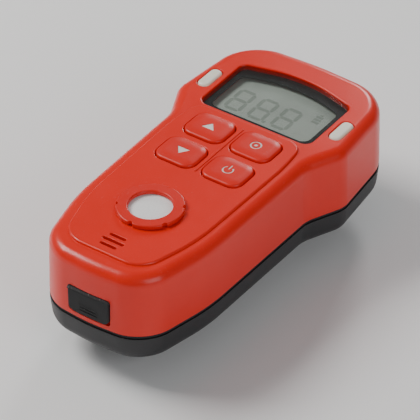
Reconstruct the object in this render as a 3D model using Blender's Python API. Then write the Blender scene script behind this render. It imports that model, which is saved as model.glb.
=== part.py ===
"""A hand-held gas detector, lying on its belt clip with its face up.

Units are metres. +X is to the user's right, +Y towards the top of the device and +Z out of its
face. The origin is on the resting plane, under the middle of the body.
"""

import math

import bmesh
import bpy
from mathutils import Matrix, Vector

MM = 0.001

# Clearances
REST_GAP = 0.3 * MM  # between a piece and what it rests on
SLIDE_GAP = 0.3 * MM  # around a key or a lens in its opening
RUN_GAP = 0.1 * MM  # around a pin in its hole
CUT = 1.0 * MM  # how far a cutter runs past what it cuts
BITE = 0.4 * MM  # how far a boss sinks into the wall that carries it
SCREW_RUN_OUT = 0.8 * MM  # how far a blind hole runs past its screw

# Body outline, seen from the front
BODY_LENGTH = 130.0 * MM
HEAD_WIDTH = 66.0 * MM
GRIP_WIDTH = 54.0 * MM
HEAD_LENGTH = 37.0 * MM  # from the top end to the shoulders
SHOULDER_LENGTH = 13.0 * MM
HEAD_TAPER = 3.5 * MM  # by how much each side of the head leans in at the top
CROWN_DROP = 1.6 * MM  # the top end's corners lie this far below its middle
GRIP_TAPER = 1.0 * MM
TAIL_LENGTH = 28.0 * MM  # the stretch that narrows towards the bottom end
TAIL_TAPER = 7.0 * MM
TAIL_DROP = 1.5 * MM
CROWN_R = 80.0 * MM
HEAD_CORNER_R = 17.0 * MM
SHOULDER_R = 8.0 * MM
NECK_R = 11.0 * MM
TAIL_R = 60.0 * MM
TAIL_CORNER_R = 14.0 * MM

# Body in depth
BODY_THICKNESS = 33.4 * MM
REAR_DEPTH = 10.5 * MM  # from the back face to the seam
SEAM = 1.4 * MM  # the gap between the shells that the seal fills
SEAL_THICKNESS = 0.8 * MM
SEAL_WIDTH = 1.7 * MM
SIDE_WALL = 2.2 * MM
FACE_WALL = 3.2 * MM
BACK_WALL = 2.2 * MM
FACE_EDGE_R = 4.0 * MM
BACK_EDGE_R = 5.0 * MM
DRAFT = 0.4 * MM

# Belt clip
PLATE = 1.0 * MM
BELT_GAP = 7.0 * MM
BASE_WIDTH = 20.0 * MM
BASE_ABOVE_PIN = 6.0 * MM
BASE_BELOW_PIN = 40.0 * MM
LEVER_ABOVE_PIN = 20.0 * MM
LEVER_BELOW_PIN = 40.0 * MM
LEVER_CORNER_R = 3.5 * MM
JAW_INSET = 0.6 * MM
JAW_SETBACK = 0.2 * MM
PIN_Y = 14.0 * MM
PIN_R = 1.25 * MM
PIN_HEAD_R = 2.2 * MM
PIN_HEAD = 0.8 * MM
EAR_R = 3.0 * MM
EAR_SETBACK = 0.1 * MM  # from the plate's edge
SPRING_WIRE_R = 0.5 * MM
SPRING_GAP = 0.35 * MM  # between the coil and the pin
SPRING_TURNS = 5
SPRING_PITCH = 1.3 * MM
SPRING_LEG = 9.0 * MM
TOOTH_COUNT = 5
TOOTH_DEPTH = 1.2 * MM
CLIP_SCREW_Y = (4.0 * MM, -16.0 * MM)
CLIP_SCREW_R = 1.5 * MM
CLIP_SCREW_HEAD_R = 2.8 * MM
CLIP_SCREW_HEAD = 1.0 * MM
CLIP_SCREW_LENGTH = 4.4 * MM
CLIP_BOSS_R = 2.7 * MM

# Display
WINDOW_HALF = 21.0 * MM
WINDOW_HEIGHT = 30.5 * MM
WINDOW_FROM_TOP = 10.5 * MM
WINDOW_ARCH = 5.5 * MM  # how far the window's middle stands above its upper corners
WINDOW_CORNER_R = 3.0 * MM
WINDOW_ARCH_R = 40.0 * MM
WINDOW_THICKNESS = 1.0 * MM
WINDOW_SUNK = 0.4 * MM
GASKET_THICKNESS = 0.5 * MM
GASKET_SIDE = 2.2 * MM
GASKET_TOP = 3.6 * MM
LEDGE = 1.5 * MM
LCD_HALF = 20.3 * MM
LCD_THICKNESS = 1.8 * MM
BACKLIGHT_THICKNESS = 2.2 * MM

# Raised panel that carries the keys and the sensor port
PANEL_RISE = 0.8 * MM
PANEL_TOP_HALF = 20.5 * MM
PANEL_EDGE = 5.2 * MM  # how far inside the grip's outline the panel's sides run
PANEL_CHAMFER = 0.7 * MM
PANEL_BELOW_WINDOW = 1.8 * MM
PANEL_ABOVE_END = 7.5 * MM
PANEL_CORNER_R = 5.0 * MM

# Keys
KEY_WIDTH = 14.6 * MM
KEY_HEIGHT = 12.4 * MM
KEY_GAP = 3.2 * MM
KEY_CORNER_R = 3.6 * MM
KEY_RISE = 1.0 * MM
KEY_FLANGE = 1.0 * MM
KEY_FLANGE_THICKNESS = 1.2 * MM
KEY_BELOW_PANEL = 3.4 * MM  # from the panel's upper end to the first row
MAT_THICKNESS = 0.8 * MM
MAT_MARGIN = 2.2 * MM
MAT_WELL = 0.6 * MM  # depth of the wells that the pressed keys sink into
SWITCH_SIDE = 6.0 * MM
SWITCH_BUTTON_R = 1.6 * MM
SWITCH_BUTTON = 0.5 * MM

# Alarm lights
LENS_FROM_SIDE = 7.4 * MM
LENS_WIDTH = 4.4 * MM
LENS_HEIGHT = 10.5 * MM
LENS_BELOW_TOP = 28.5 * MM
LENS_RISE = 0.4 * MM
LENS_FLANGE = 0.7 * MM
LENS_FLANGE_THICKNESS = 1.0 * MM
LED_SIDE = 3.0 * MM
LED_HEIGHT = 1.5 * MM

# Gas sensor and its port
SENSOR_FROM_END = 33.0 * MM
SENSOR_R = 10.0 * MM
SENSOR_HEIGHT = 12.5 * MM
SENSOR_PIN_R = 0.75 * MM
SENSOR_PIN = 1.4 * MM
SENSOR_PIN_CIRCLE_R = 6.5 * MM
SOCKET_THICKNESS = 2.0 * MM
FILTER_R = 8.0 * MM
FILTER_THICKNESS = 0.8 * MM
MESH_THICKNESS = 0.5 * MM
SENSOR_SEAL_WIDTH = 2.0 * MM
SKIRT_WALL = 0.8 * MM
CAP_ABOVE_PANEL = 0.3 * MM
CAP_THICKNESS = 1.3 * MM
CAP_LIP = 1.5 * MM
CAP_OPENING_R = 7.0 * MM
CAP_BEVEL = 0.5 * MM
CAP_NOTCHES = 6
CAP_NOTCH_R = 0.9 * MM
LUG_REACH = 0.9 * MM
LUG_THICKNESS = 1.4 * MM
LUG_ARC = math.radians(24)
LUG_TURN = math.radians(60)  # from locked to where the lugs meet their notches

# Boards
BOARD = 1.6 * MM
HEADER_WIDTH = 20.0 * MM
HEADER_DEPTH = 4.0 * MM
HEADER_ABOVE_BATTERY_END = 10.0 * MM
MCU_SIDE = 10.0 * MM
MCU_HEIGHT = 1.4 * MM
MAIN_BOARD_SIDE_GAP = 2.0 * MM  # between the board's edge and the wall
MAIN_BOARD_TOP_GAP = 23.0 * MM  # from the top end
MAIN_BOARD_END_GAP = 6.0 * MM
MAIN_BOARD_SHOULDER = 27.0 * MM  # from the bottom end
WING_BELOW_TOP = 22.5 * MM
WING_LENGTH = 18.5 * MM
WING_SIDE_GAP = 2.6 * MM
POST_R = 2.6 * MM
SMALL_SCREW_R = 1.0 * MM
SMALL_HEAD_R = 2.0 * MM
SMALL_HEAD = 1.2 * MM
SMALL_SCREW_LENGTH = 5.0 * MM
STANDOFF_INSET = 3.1 * MM  # from the board's side
STANDOFF_Y = (34.0 * MM, -29.0 * MM)
WING_SCREW_INSET = 2.8 * MM  # from the wing's side
WING_SCREW_ABOVE_WING_END = 3.1 * MM

# Case screws
CASE_TOP = (8.6 * MM, 18.5 * MM)  # from the head's side, and from the top end
CASE_BOTTOM = (8.4 * MM, 19.0 * MM)  # from the grip's side, and from the bottom end
CASE_SCREW_R = 1.4 * MM
CASE_HEAD_R = 2.6 * MM
CASE_HEAD = 1.8 * MM
CASE_SCREW_LENGTH = 16.0 * MM
CASE_SUNK = 3.0 * MM
CASE_BOSS_R = 3.3 * MM

# Battery
BATTERY_LENGTH = 48.0 * MM
BATTERY_WIDTH = 32.0 * MM
BATTERY_THICKNESS = 6.0 * MM
BATTERY_Y = 2.0 * MM
BATTERY_ABOVE_SCREWS = 0.5 * MM
BATTERY_CORNER_R = 2.5 * MM
PAD_LENGTH = 13.0 * MM
PAD_WIDTH = 28.0 * MM
PAD_FROM_END = 3.0 * MM
RIB_THICKNESS = 1.2 * MM
RIB_GRIP = 1.6 * MM  # how far the end ribs stand beside the battery
LEAD_R = 0.6 * MM
LEAD_PITCH = 2.5 * MM
LEAD_X = 7.0 * MM
PLUG_SIZE = (7.0 * MM, 5.6 * MM, 4.2 * MM)
PLUG_FROM_BOARD_END = 1.6 * MM

# Vibration motor
MOTOR_R = 3.0 * MM
MOTOR_LENGTH = 11.0 * MM
MOTOR_X = -12.0 * MM
MOTOR_SHAFT_R = 0.5 * MM
SHAFT_IN_MOTOR = 2.4 * MM
WEIGHT_R = 2.7 * MM
WEIGHT_LENGTH = 4.0 * MM
WEIGHT_FLAT = 1.0 * MM  # from the shaft's centre down to the weight's flat side
WEIGHT_FROM_BOARD_END = 2.0 * MM

# Buzzer
BUZZER_R = 6.0 * MM
BUZZER_HEIGHT = 6.0 * MM
BUZZER_FROM_END = 13.6 * MM
BUZZER_COLLAR = 1.1 * MM
BUZZER_COLLAR_HEIGHT = 4.5 * MM
SOUND_SLOT_WIDTH = 1.1 * MM
SOUND_SLOT_PITCH = 2.5 * MM
SOUND_SLOT_LENGTHS = (6.0 * MM, 8.0 * MM, 6.0 * MM)

# Charging jack and its cover
JACK_WIDTH = 9.0 * MM
JACK_LENGTH = 11.0 * MM
JACK_HEIGHT = 6.4 * MM
JACK_BORE_R = 1.75 * MM
JACK_BORE_DEPTH = 8.0 * MM
PORT_R = 3.3 * MM
PORT_PAD = 2.0 * MM  # local thickening behind the port
PAD_MARGIN = 1.0 * MM
RECESS_WIDTH = 16.0 * MM
RECESS_ABOVE_PORT = 6.0 * MM
RECESS_BELOW_PORT = 3.9 * MM
RECESS_DEPTH = 1.7 * MM
COVER_THICKNESS = 1.3 * MM
COVER_PLUG_R = 2.75 * MM
COVER_PLUG = 1.4 * MM
COVER_BEAD_R = 0.7 * MM

# Fineness of round shapes
CORNER_STEPS = 4
EDGE_STEPS = 3
ROUND = 20
SMALL_ROUND = 10
PIN_ROUND = 16

# Levels and places that follow from the sizes above
BASE_Z = PLATE + BELT_GAP
BACK_Z = BASE_Z + PLATE + REST_GAP
FACE_Z = BACK_Z + BODY_THICKNESS
PANEL_Z = FACE_Z + PANEL_RISE
SEAM_Z = BACK_Z + REAR_DEPTH
FRONT_EDGE_Z = SEAM_Z + SEAM / 2
REAR_EDGE_Z = SEAM_Z - SEAM / 2
INSIDE_BACK_Z = BACK_Z + BACK_WALL
UNDER_FACE = FACE_Z - FACE_WALL
TOP_Y = BODY_LENGTH / 2
END_Y = -BODY_LENGTH / 2
PIN_Z = PLATE + BELT_GAP / 2
WINDOW_TOP = TOP_Y - WINDOW_FROM_TOP
WINDOW_BOTTOM = WINDOW_TOP - WINDOW_HEIGHT
WINDOW_Z = FACE_Z - WINDOW_SUNK
GASKET_Z = WINDOW_Z - WINDOW_THICKNESS - REST_GAP
LEDGE_Z = GASKET_Z - GASKET_THICKNESS - REST_GAP
PANEL_TOP = WINDOW_BOTTOM - PANEL_BELOW_WINDOW
LCD_Z = UNDER_FACE - REST_GAP
BACKLIGHT_Z = LCD_Z - LCD_THICKNESS - REST_GAP
KEY_BOARD_Z = BACKLIGHT_Z - BACKLIGHT_THICKNESS - REST_GAP
KEY_FLANGE_Z = UNDER_FACE - REST_GAP
MAT_Z = KEY_FLANGE_Z - KEY_FLANGE_THICKNESS - REST_GAP
SENSOR_Y = END_Y + SENSOR_FROM_END
CAP_RIM_Z = PANEL_Z + CAP_ABOVE_PANEL
FILTER_Z = CAP_RIM_Z - REST_GAP
MESH_Z = FILTER_Z - FILTER_THICKNESS - REST_GAP
SENSOR_SEAL_Z = MESH_Z - MESH_THICKNESS - REST_GAP
SKIRT_END_Z = UNDER_FACE - REST_GAP - LUG_THICKNESS
SENSOR_Z = SKIRT_END_Z - REST_GAP
SENSOR_BOTTOM_Z = SENSOR_Z - SENSOR_HEIGHT
MAIN_BOARD_Z = SENSOR_BOTTOM_Z - SOCKET_THICKNESS - 2 * REST_GAP
BOARD_TOP_Z = MAIN_BOARD_Z + REST_GAP  # where the board's own parts stand
SKIRT_INNER_R = FILTER_R + SLIDE_GAP
SKIRT_R = SKIRT_INNER_R + SKIRT_WALL
PORT_HOLE_R = SKIRT_R + SLIDE_GAP
CAP_R = PORT_HOLE_R + CAP_LIP
BUZZER_Y = END_Y + BUZZER_FROM_END
JACK_Z = BOARD_TOP_Z + JACK_HEIGHT / 2
RECESS_FLOOR_Y = END_Y + RECESS_DEPTH
EAR_INNER = BASE_WIDTH / 2 - PLATE
LEVER_FLANGE_X = BASE_WIDTH / 2 + REST_GAP
LEVER_HALF = LEVER_FLANGE_X + PLATE
CLIP_SCREW_TIP_Z = BASE_Z - REST_GAP + CLIP_SCREW_LENGTH
BATTERY_Z = CLIP_SCREW_TIP_Z + BATTERY_ABOVE_SCREWS
PAD_Z = BATTERY_Z - REST_GAP
MAIN_BOARD_HALF = GRIP_WIDTH / 2 - SIDE_WALL - MAIN_BOARD_SIDE_GAP
MAIN_BOARD_TOP = TOP_Y - MAIN_BOARD_TOP_GAP
STANDOFF_X = MAIN_BOARD_HALF - STANDOFF_INSET
WING_HALF = HEAD_WIDTH / 2 - SIDE_WALL - WING_SIDE_GAP
WING_TOP = TOP_Y - WING_BELOW_TOP
WING_END = WING_TOP - WING_LENGTH
CASE_TOP_X = HEAD_WIDTH / 2 - CASE_TOP[0]
CASE_BOTTOM_X = GRIP_WIDTH / 2 - CASE_BOTTOM[0]
LENS_X = HEAD_WIDTH / 2 - LENS_FROM_SIDE

COLOURS = {
    "red_shell": ((0.72, 0.035, 0.018), 0.35, 0.0),
    "black_shell": ((0.018, 0.018, 0.02), 0.5, 0.0),
    "rubber": ((0.012, 0.012, 0.013), 0.8, 0.0),
    "red_key": ((0.60, 0.025, 0.014), 0.45, 0.0),
    "clear_window": ((0.75, 0.80, 0.78), 0.08, 0.0),
    "lcd_glass": ((0.33, 0.40, 0.34), 0.2, 0.0),
    "white_plastic": ((0.80, 0.80, 0.78), 0.45, 0.0),
    "frosted_lens": ((0.90, 0.86, 0.74), 0.3, 0.0),
    "white_membrane": ((0.88, 0.90, 0.88), 0.7, 0.0),
    "steel": ((0.60, 0.60, 0.62), 0.3, 1.0),
    "board_green": ((0.02, 0.16, 0.06), 0.45, 0.0),
    "chip_black": ((0.02, 0.02, 0.02), 0.6, 0.0),
    "silicone": ((0.45, 0.45, 0.46), 0.7, 0.0),
    "cell_wrap": ((0.10, 0.16, 0.42), 0.35, 0.0),
    "lead_red": ((0.6, 0.02, 0.02), 0.5, 0.0),
    "lead_black": ((0.02, 0.02, 0.02), 0.5, 0.0),
}


# ---- Scene and object helpers ----

def clear_scene():
    for obj in list(bpy.data.objects):
        bpy.data.objects.remove(obj)


def material(name):
    """The named material, made the first time that a piece asks for it."""
    found = bpy.data.materials.get(name)
    if found:
        return found
    colour, roughness, metallic = COLOURS[name]
    made = bpy.data.materials.new(name)
    made.use_nodes = True
    shader = made.node_tree.nodes["Principled BSDF"]
    shader.inputs["Base Color"].default_value = (*colour, 1.0)
    shader.inputs["Roughness"].default_value = roughness
    shader.inputs["Metallic"].default_value = metallic
    return made


def object_of(name, bm):
    bmesh.ops.recalc_face_normals(bm, faces=bm.faces)
    mesh = bpy.data.meshes.new(name)
    bm.to_mesh(mesh)
    bm.free()
    obj = bpy.data.objects.new(name, mesh)
    bpy.context.scene.collection.objects.link(obj)
    return obj


def piece(name, bm, finish):
    """One sub-part of the detector, with its own material."""
    obj = object_of(name, bm)
    obj.data.materials.append(material(finish))
    obj.data.shade_smooth()
    obj.data.set_sharp_from_angle(angle=math.radians(32))
    return obj


def shape(obj, label, operation, solids):
    """Joins solids to obj, or cuts them from it, one after another."""
    for number, bm in enumerate(solids):
        helper = object_of(f"{obj.name}_{label}_{number}", bm)
        helper.hide_render = True
        helper.display_type = "WIRE"
        boolean = obj.modifiers.new(f"{label}_{number}", "BOOLEAN")
        boolean.operation = operation
        boolean.solver = "EXACT"
        boolean.object = helper


def join(obj, label, solids):
    shape(obj, label, "UNION", solids)


def carve(obj, label, solids):
    shape(obj, label, "DIFFERENCE", solids)


def set_pivot(obj, place):
    """Moves the origin of a piece that turns or slides onto its joint's axis."""
    obj.data.transform(Matrix.Translation(-Vector(place)))
    obj.location = place


# ---- Plane outlines ----

def rounded(corners, inset=0.0, steps=CORNER_STEPS):
    """Points round a polygon of (x, y, radius) corners, given clockwise, moved inwards by inset."""
    points = [Vector(corner[:2]) for corner in corners]
    count = len(points)
    ring = []
    for i, (_, _, radius) in enumerate(corners):
        before, here, after = points[i - 1], points[i], points[(i + 1) % count]
        way_in = (here - before).normalized()
        way_out = (after - here).normalized()
        normal_in = Vector((way_in.y, -way_in.x))
        normal_out = Vector((way_out.y, -way_out.x))
        turn = math.atan2(way_in.x * way_out.y - way_in.y * way_out.x, way_in.dot(way_out))
        moved = here + (normal_in + normal_out) * (inset / (1 + normal_in.dot(normal_out)))
        bend = max(radius - inset if turn < 0 else radius + inset, 0.2 * MM)
        start = moved - way_in * bend * math.tan(abs(turn) / 2)
        side = normal_in if turn < 0 else -normal_in
        centre = start + side * bend
        for step in range(steps + 1):
            arm = (start - centre).copy()
            arm.rotate(Matrix.Rotation(turn * step / steps, 2))
            ring.append(centre + arm)
    return ring


def both_sides(right):
    """Clockwise corners of a shape that is the same on both sides, from those at x >= 0, top to bottom."""
    left = [(-x, y, radius) for x, y, radius in reversed(right) if x > 0]
    return [corner for corner in right] + left


def rectangle(width, height, radius, centre=(0.0, 0.0)):
    x, y = centre
    w, h = width / 2, height / 2
    return [(x + w, y + h, radius), (x + w, y - h, radius), (x - w, y - h, radius), (x - w, y + h, radius)]


def circle(radius, centre=(0.0, 0.0), count=ROUND):
    x, y = centre
    turns = [2 * math.pi * i / count for i in range(count)]
    return [Vector((x + radius * math.cos(t), y + radius * math.sin(t))) for t in turns]


def body_corners():
    shoulder = TOP_Y - HEAD_LENGTH
    neck = shoulder - SHOULDER_LENGTH
    tail = END_Y + TAIL_LENGTH
    return both_sides([
        (0.0, TOP_Y, CROWN_R),
        (HEAD_WIDTH / 2 - HEAD_TAPER, TOP_Y - CROWN_DROP, HEAD_CORNER_R),
        (HEAD_WIDTH / 2, shoulder, SHOULDER_R),
        (GRIP_WIDTH / 2, neck, NECK_R),
        (GRIP_WIDTH / 2 - GRIP_TAPER, tail, TAIL_R),
        (GRIP_WIDTH / 2 - TAIL_TAPER, END_Y + TAIL_DROP, TAIL_CORNER_R),
        (0.0, END_Y, TAIL_R),
    ])


def window_corners(side=0.0, top=0.0):
    """The arched window, or an opening that is smaller by side at its sides and bottom and by top above."""
    half = WINDOW_HALF - side
    return both_sides([
        (0.0, WINDOW_TOP - top, WINDOW_ARCH_R),
        (half, WINDOW_TOP - WINDOW_ARCH - top, WINDOW_CORNER_R),
        (half, WINDOW_BOTTOM + side, WINDOW_CORNER_R),
    ])


def panel_corners():
    grip = GRIP_WIDTH / 2 - PANEL_EDGE
    tail = END_Y + TAIL_LENGTH
    end = END_Y + PANEL_ABOVE_END
    return both_sides([
        (PANEL_TOP_HALF, PANEL_TOP, PANEL_CORNER_R),
        (grip, PANEL_TOP - SHOULDER_LENGTH, TAIL_R),
        (grip - GRIP_TAPER, tail, TAIL_R),
        (grip - TAIL_TAPER, end, TAIL_CORNER_R - PANEL_EDGE),
    ])


# ---- Solids ----

def loft(sections):
    """A closed solid through a stack of rings with equal point counts: [(points, z), ...]."""
    bm = bmesh.new()
    rings = [[bm.verts.new((x, y, z)) for x, y in points] for points, z in sections]
    bm.faces.new(rings[0])
    bm.faces.new(rings[-1])
    for low, high in zip(rings, rings[1:]):
        for i in range(len(low)):
            after = (i + 1) % len(low)
            bm.faces.new((low[i], low[after], high[after], high[i]))
    return bm


def prism(points, low, high):
    return loft([(points, low), (points, high)])


def box(low, high):
    bm = bmesh.new()
    bmesh.ops.create_cube(bm, size=1.0)
    low, high = Vector(low), Vector(high)
    bmesh.ops.scale(bm, vec=high - low, verts=bm.verts)
    bmesh.ops.translate(bm, vec=(high + low) / 2, verts=bm.verts)
    return bm


def rod(radius, start, end, count=ROUND):
    """A round bar from one point to another."""
    start, end = Vector(start), Vector(end)
    along = end - start
    bm = bmesh.new()
    bmesh.ops.create_cone(
        bm, cap_ends=True, segments=count, radius1=radius, radius2=radius, depth=along.length
    )
    turn = Vector((0, 0, 1)).rotation_difference(along).to_matrix().to_4x4()
    bmesh.ops.transform(bm, matrix=Matrix.Translation((start + end) / 2) @ turn, verts=bm.verts)
    return bm


def turned(profile, centre=(0.0, 0.0), count=ROUND):
    """A ring turned about the Z axis through centre, from a closed profile of (radius, z) points."""
    bm = bmesh.new()
    verts = [bm.verts.new((centre[0] + r, centre[1], z)) for r, z in profile]
    edges = [bm.edges.new((verts[i - 1], verts[i])) for i in range(len(verts))]
    bmesh.ops.spin(
        bm, geom=verts + edges, cent=(*centre, 0.0), axis=(0, 0, 1), angle=2 * math.pi,
        steps=count, use_merge=True,
    )
    return bm


def side_plate(points, start, end):
    """A solid along X, from start to end, whose outline is given as (y, z) points."""
    bm = prism(points, start, end)
    turn = Matrix(((0, 0, 1, 0), (1, 0, 0, 0), (0, 1, 0, 0), (0, 0, 0, 1)))
    bmesh.ops.transform(bm, matrix=turn, verts=bm.verts)
    return bm


def ear_outline(half, radius, foot_z, centre=(0.0, 0.0)):
    """An ear with a round end: (y, z) points from its foot, round the pin at centre and back."""
    y, z = centre
    sign = 1 if foot_z < z else -1
    steps = 12
    arc = [math.pi * i / steps for i in range(steps + 1)]
    top = [(y + radius * math.cos(a), z + sign * radius * math.sin(a)) for a in arc]
    return [(y + half, foot_z), *top, (y - half, foot_z)]


def ring(outer, inner, low, high, centre=(0.0, 0.0)):
    return turned([(inner, low), (outer, low), (outer, high), (inner, high)], centre)


def stepped(sections, centre):
    """A round solid about the Z axis through centre, from (radius, z) steps, bottom to top."""
    return loft([(circle(radius, centre), z) for radius, z in sections])


def tube(name, points, radius, finish, sides=2):
    """A round wire along points, with closed ends."""
    curve = bpy.data.curves.new(name, "CURVE")
    curve.dimensions = "3D"
    curve.bevel_depth = radius
    curve.bevel_resolution = sides
    curve.use_fill_caps = True
    spline = curve.splines.new("POLY")
    spline.points.add(len(points) - 1)
    for spot, place in zip(spline.points, points):
        spot.co = (*place, 1.0)
    obj = bpy.data.objects.new(name, curve)
    bpy.context.scene.collection.objects.link(obj)
    curve.materials.append(material(finish))
    return obj


def smooth_route(knots, spacing):
    """Evenly spaced points on a Catmull-Rom curve through knots."""
    knots = [Vector(knot) for knot in knots]
    padded = [2 * knots[0] - knots[1], *knots, 2 * knots[-1] - knots[-2]]
    points = []
    for a, b, c, d in zip(padded, padded[1:], padded[2:], padded[3:]):
        count = max(2, round((c - b).length / spacing))
        for step in range(count):
            t = step / count
            points.append(0.5 * (
                2 * b + (c - a) * t + (2 * a - 5 * b + 4 * c - d) * t**2
                + (3 * b - a - 3 * c + d) * t**3
            ))
    return points + [knots[-1]]


def rounded_rise(corners, side_z, face_z, edge_r, draft, inset=0.0):
    """Rings of a shell that rises, or sinks, from side_z to face_z and ends in a rounded edge."""
    sign = 1 if face_z > side_z else -1
    sections = [(rounded(corners, inset), side_z)]
    for step in range(EDGE_STEPS + 1):
        angle = math.pi / 2 * step / EDGE_STEPS
        in_by = inset + draft + edge_r * (1 - math.cos(angle))
        sections.append((rounded(corners, in_by), face_z - sign * edge_r * (1 - math.sin(angle))))
    return sections if sign > 0 else sections[::-1]


# ---- Places that several pieces share ----

def case_screw_places():
    places = {}
    for side, x_sign in (("left", -1), ("right", 1)):
        places[f"top_{side}"] = (x_sign * CASE_TOP_X, TOP_Y - CASE_TOP[1])
        places[f"bottom_{side}"] = (x_sign * CASE_BOTTOM_X, END_Y + CASE_BOTTOM[1])
    return places


def key_places():
    """Centres of the keys, by name."""
    first = PANEL_TOP - KEY_BELOW_PANEL - KEY_HEIGHT / 2
    second = first - KEY_HEIGHT - KEY_GAP
    x = (KEY_WIDTH + KEY_GAP) / 2
    return {"up": (-x, first), "enter": (x, first), "down": (-x, second), "power": (x, second)}


def lens_places():
    y = TOP_Y - LENS_BELOW_TOP
    return {"left": (-LENS_X, y), "right": (LENS_X, y)}


def wing_screw_places():
    x = WING_HALF - WING_SCREW_INSET
    y = WING_END + WING_SCREW_ABOVE_WING_END
    return {"left": (-x, y), "right": (x, y)}


def standoff_places():
    rows = {"upper": STANDOFF_Y[0], "lower": STANDOFF_Y[1]}
    return {
        f"{row}_{side}": (sign * STANDOFF_X, y)
        for row, y in rows.items()
        for side, sign in (("left", -1), ("right", 1))
    }


def lug_wedge(turn, arc, inner, outer, low, high):
    """A sector of a ring about the sensor port, centred on the angle turn."""
    steps = 6
    angles = [turn + arc * (i / steps - 0.5) for i in range(steps + 1)]
    points = [(outer * math.cos(a), SENSOR_Y + outer * math.sin(a)) for a in angles]
    points += [(inner * math.cos(a), SENSOR_Y + inner * math.sin(a)) for a in reversed(angles)]
    return prism(points, low, high)


# ---- Shells and seal ----

def front_shell():
    corners = body_corners()
    shell = piece(
        "front_shell",
        loft(rounded_rise(corners, FRONT_EDGE_Z, FACE_Z, FACE_EDGE_R, DRAFT)),
        "red_shell",
    )
    panel = panel_corners()
    join(shell, "panel", [loft([
        (rounded(panel), FACE_Z - BITE),
        (rounded(panel), PANEL_Z - PANEL_CHAMFER / 2),
        (rounded(panel, PANEL_CHAMFER), PANEL_Z),
    ])])
    hollow = rounded_rise(
        corners, FRONT_EDGE_Z - CUT, UNDER_FACE, FACE_EDGE_R - SIDE_WALL, DRAFT, SIDE_WALL
    )
    carve(shell, "hollow", [loft(hollow)])
    bosses = [
        rod(CASE_BOSS_R, (x, y, FRONT_EDGE_Z), (x, y, UNDER_FACE + BITE))
        for x, y in case_screw_places().values()
    ]
    bosses += [
        rod(POST_R, (x, y, KEY_BOARD_Z + REST_GAP), (x, y, UNDER_FACE + BITE))
        for x, y in wing_screw_places().values()
    ]
    collar_r = BUZZER_R + REST_GAP
    bosses.append(ring(
        collar_r + BUZZER_COLLAR, collar_r, UNDER_FACE - BUZZER_COLLAR_HEIGHT, UNDER_FACE + BITE,
        (0.0, BUZZER_Y),
    ))
    pad_half = RECESS_WIDTH / 2 + PAD_MARGIN
    bosses.append(box(
        (-pad_half, RECESS_FLOOR_Y + BITE, JACK_Z - RECESS_BELOW_PORT - PAD_MARGIN),
        (pad_half, RECESS_FLOOR_Y + PORT_PAD, JACK_Z + RECESS_ABOVE_PORT + PAD_MARGIN),
    ))
    join(shell, "boss", bosses)
    over = PANEL_Z + CUT
    under = UNDER_FACE - CUT
    holes = [
        prism(rounded(window_corners(), -SLIDE_GAP), LEDGE_Z, over),
        prism(rounded(window_corners(LEDGE, LEDGE)), under, over),
        rod(PORT_HOLE_R, (0, SENSOR_Y, under), (0, SENSOR_Y, over)),
    ]
    holes += [
        lug_wedge(turn, LUG_ARC * 1.25, FILTER_R, SKIRT_R + LUG_REACH + SLIDE_GAP, under, over)
        for turn in (LUG_TURN, LUG_TURN + math.pi)
    ]
    for x, y in key_places().values():
        points = rounded(rectangle(KEY_WIDTH, KEY_HEIGHT, KEY_CORNER_R, (x, y)), -SLIDE_GAP)
        holes.append(prism(points, under, over))
    for x, y in lens_places().values():
        points = rounded(rectangle(LENS_WIDTH, LENS_HEIGHT, LENS_WIDTH / 2 - 0.05 * MM, (x, y)), -SLIDE_GAP)
        holes.append(prism(points, under, over))
    for row, length in enumerate(SOUND_SLOT_LENGTHS):
        y = BUZZER_Y + (1 - row) * SOUND_SLOT_PITCH
        slot = rectangle(length, SOUND_SLOT_WIDTH, SOUND_SLOT_WIDTH / 2 - 0.05 * MM, (0, y))
        holes.append(prism(rounded(slot), under, over))
    for x, y in case_screw_places().values():
        tip = BACK_Z + CASE_SUNK + CASE_SCREW_LENGTH + SCREW_RUN_OUT
        holes.append(rod(CASE_SCREW_R + RUN_GAP, (x, y, BACK_Z), (x, y, tip), SMALL_ROUND))
    for x, y in wing_screw_places().values():
        tip = KEY_BOARD_Z - BOARD - REST_GAP + SMALL_SCREW_LENGTH + SCREW_RUN_OUT
        holes.append(rod(SMALL_SCREW_R + RUN_GAP, (x, y, KEY_BOARD_Z - CUT), (x, y, tip), SMALL_ROUND))
    holes.append(box(
        (-RECESS_WIDTH / 2, END_Y - CUT, JACK_Z - RECESS_BELOW_PORT),
        (RECESS_WIDTH / 2, RECESS_FLOOR_Y, JACK_Z + RECESS_ABOVE_PORT),
    ))
    holes.append(rod(PORT_R, (0, END_Y - CUT, JACK_Z), (0, RECESS_FLOOR_Y + PORT_PAD + CUT, JACK_Z)))
    carve(shell, "hole", holes)


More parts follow.
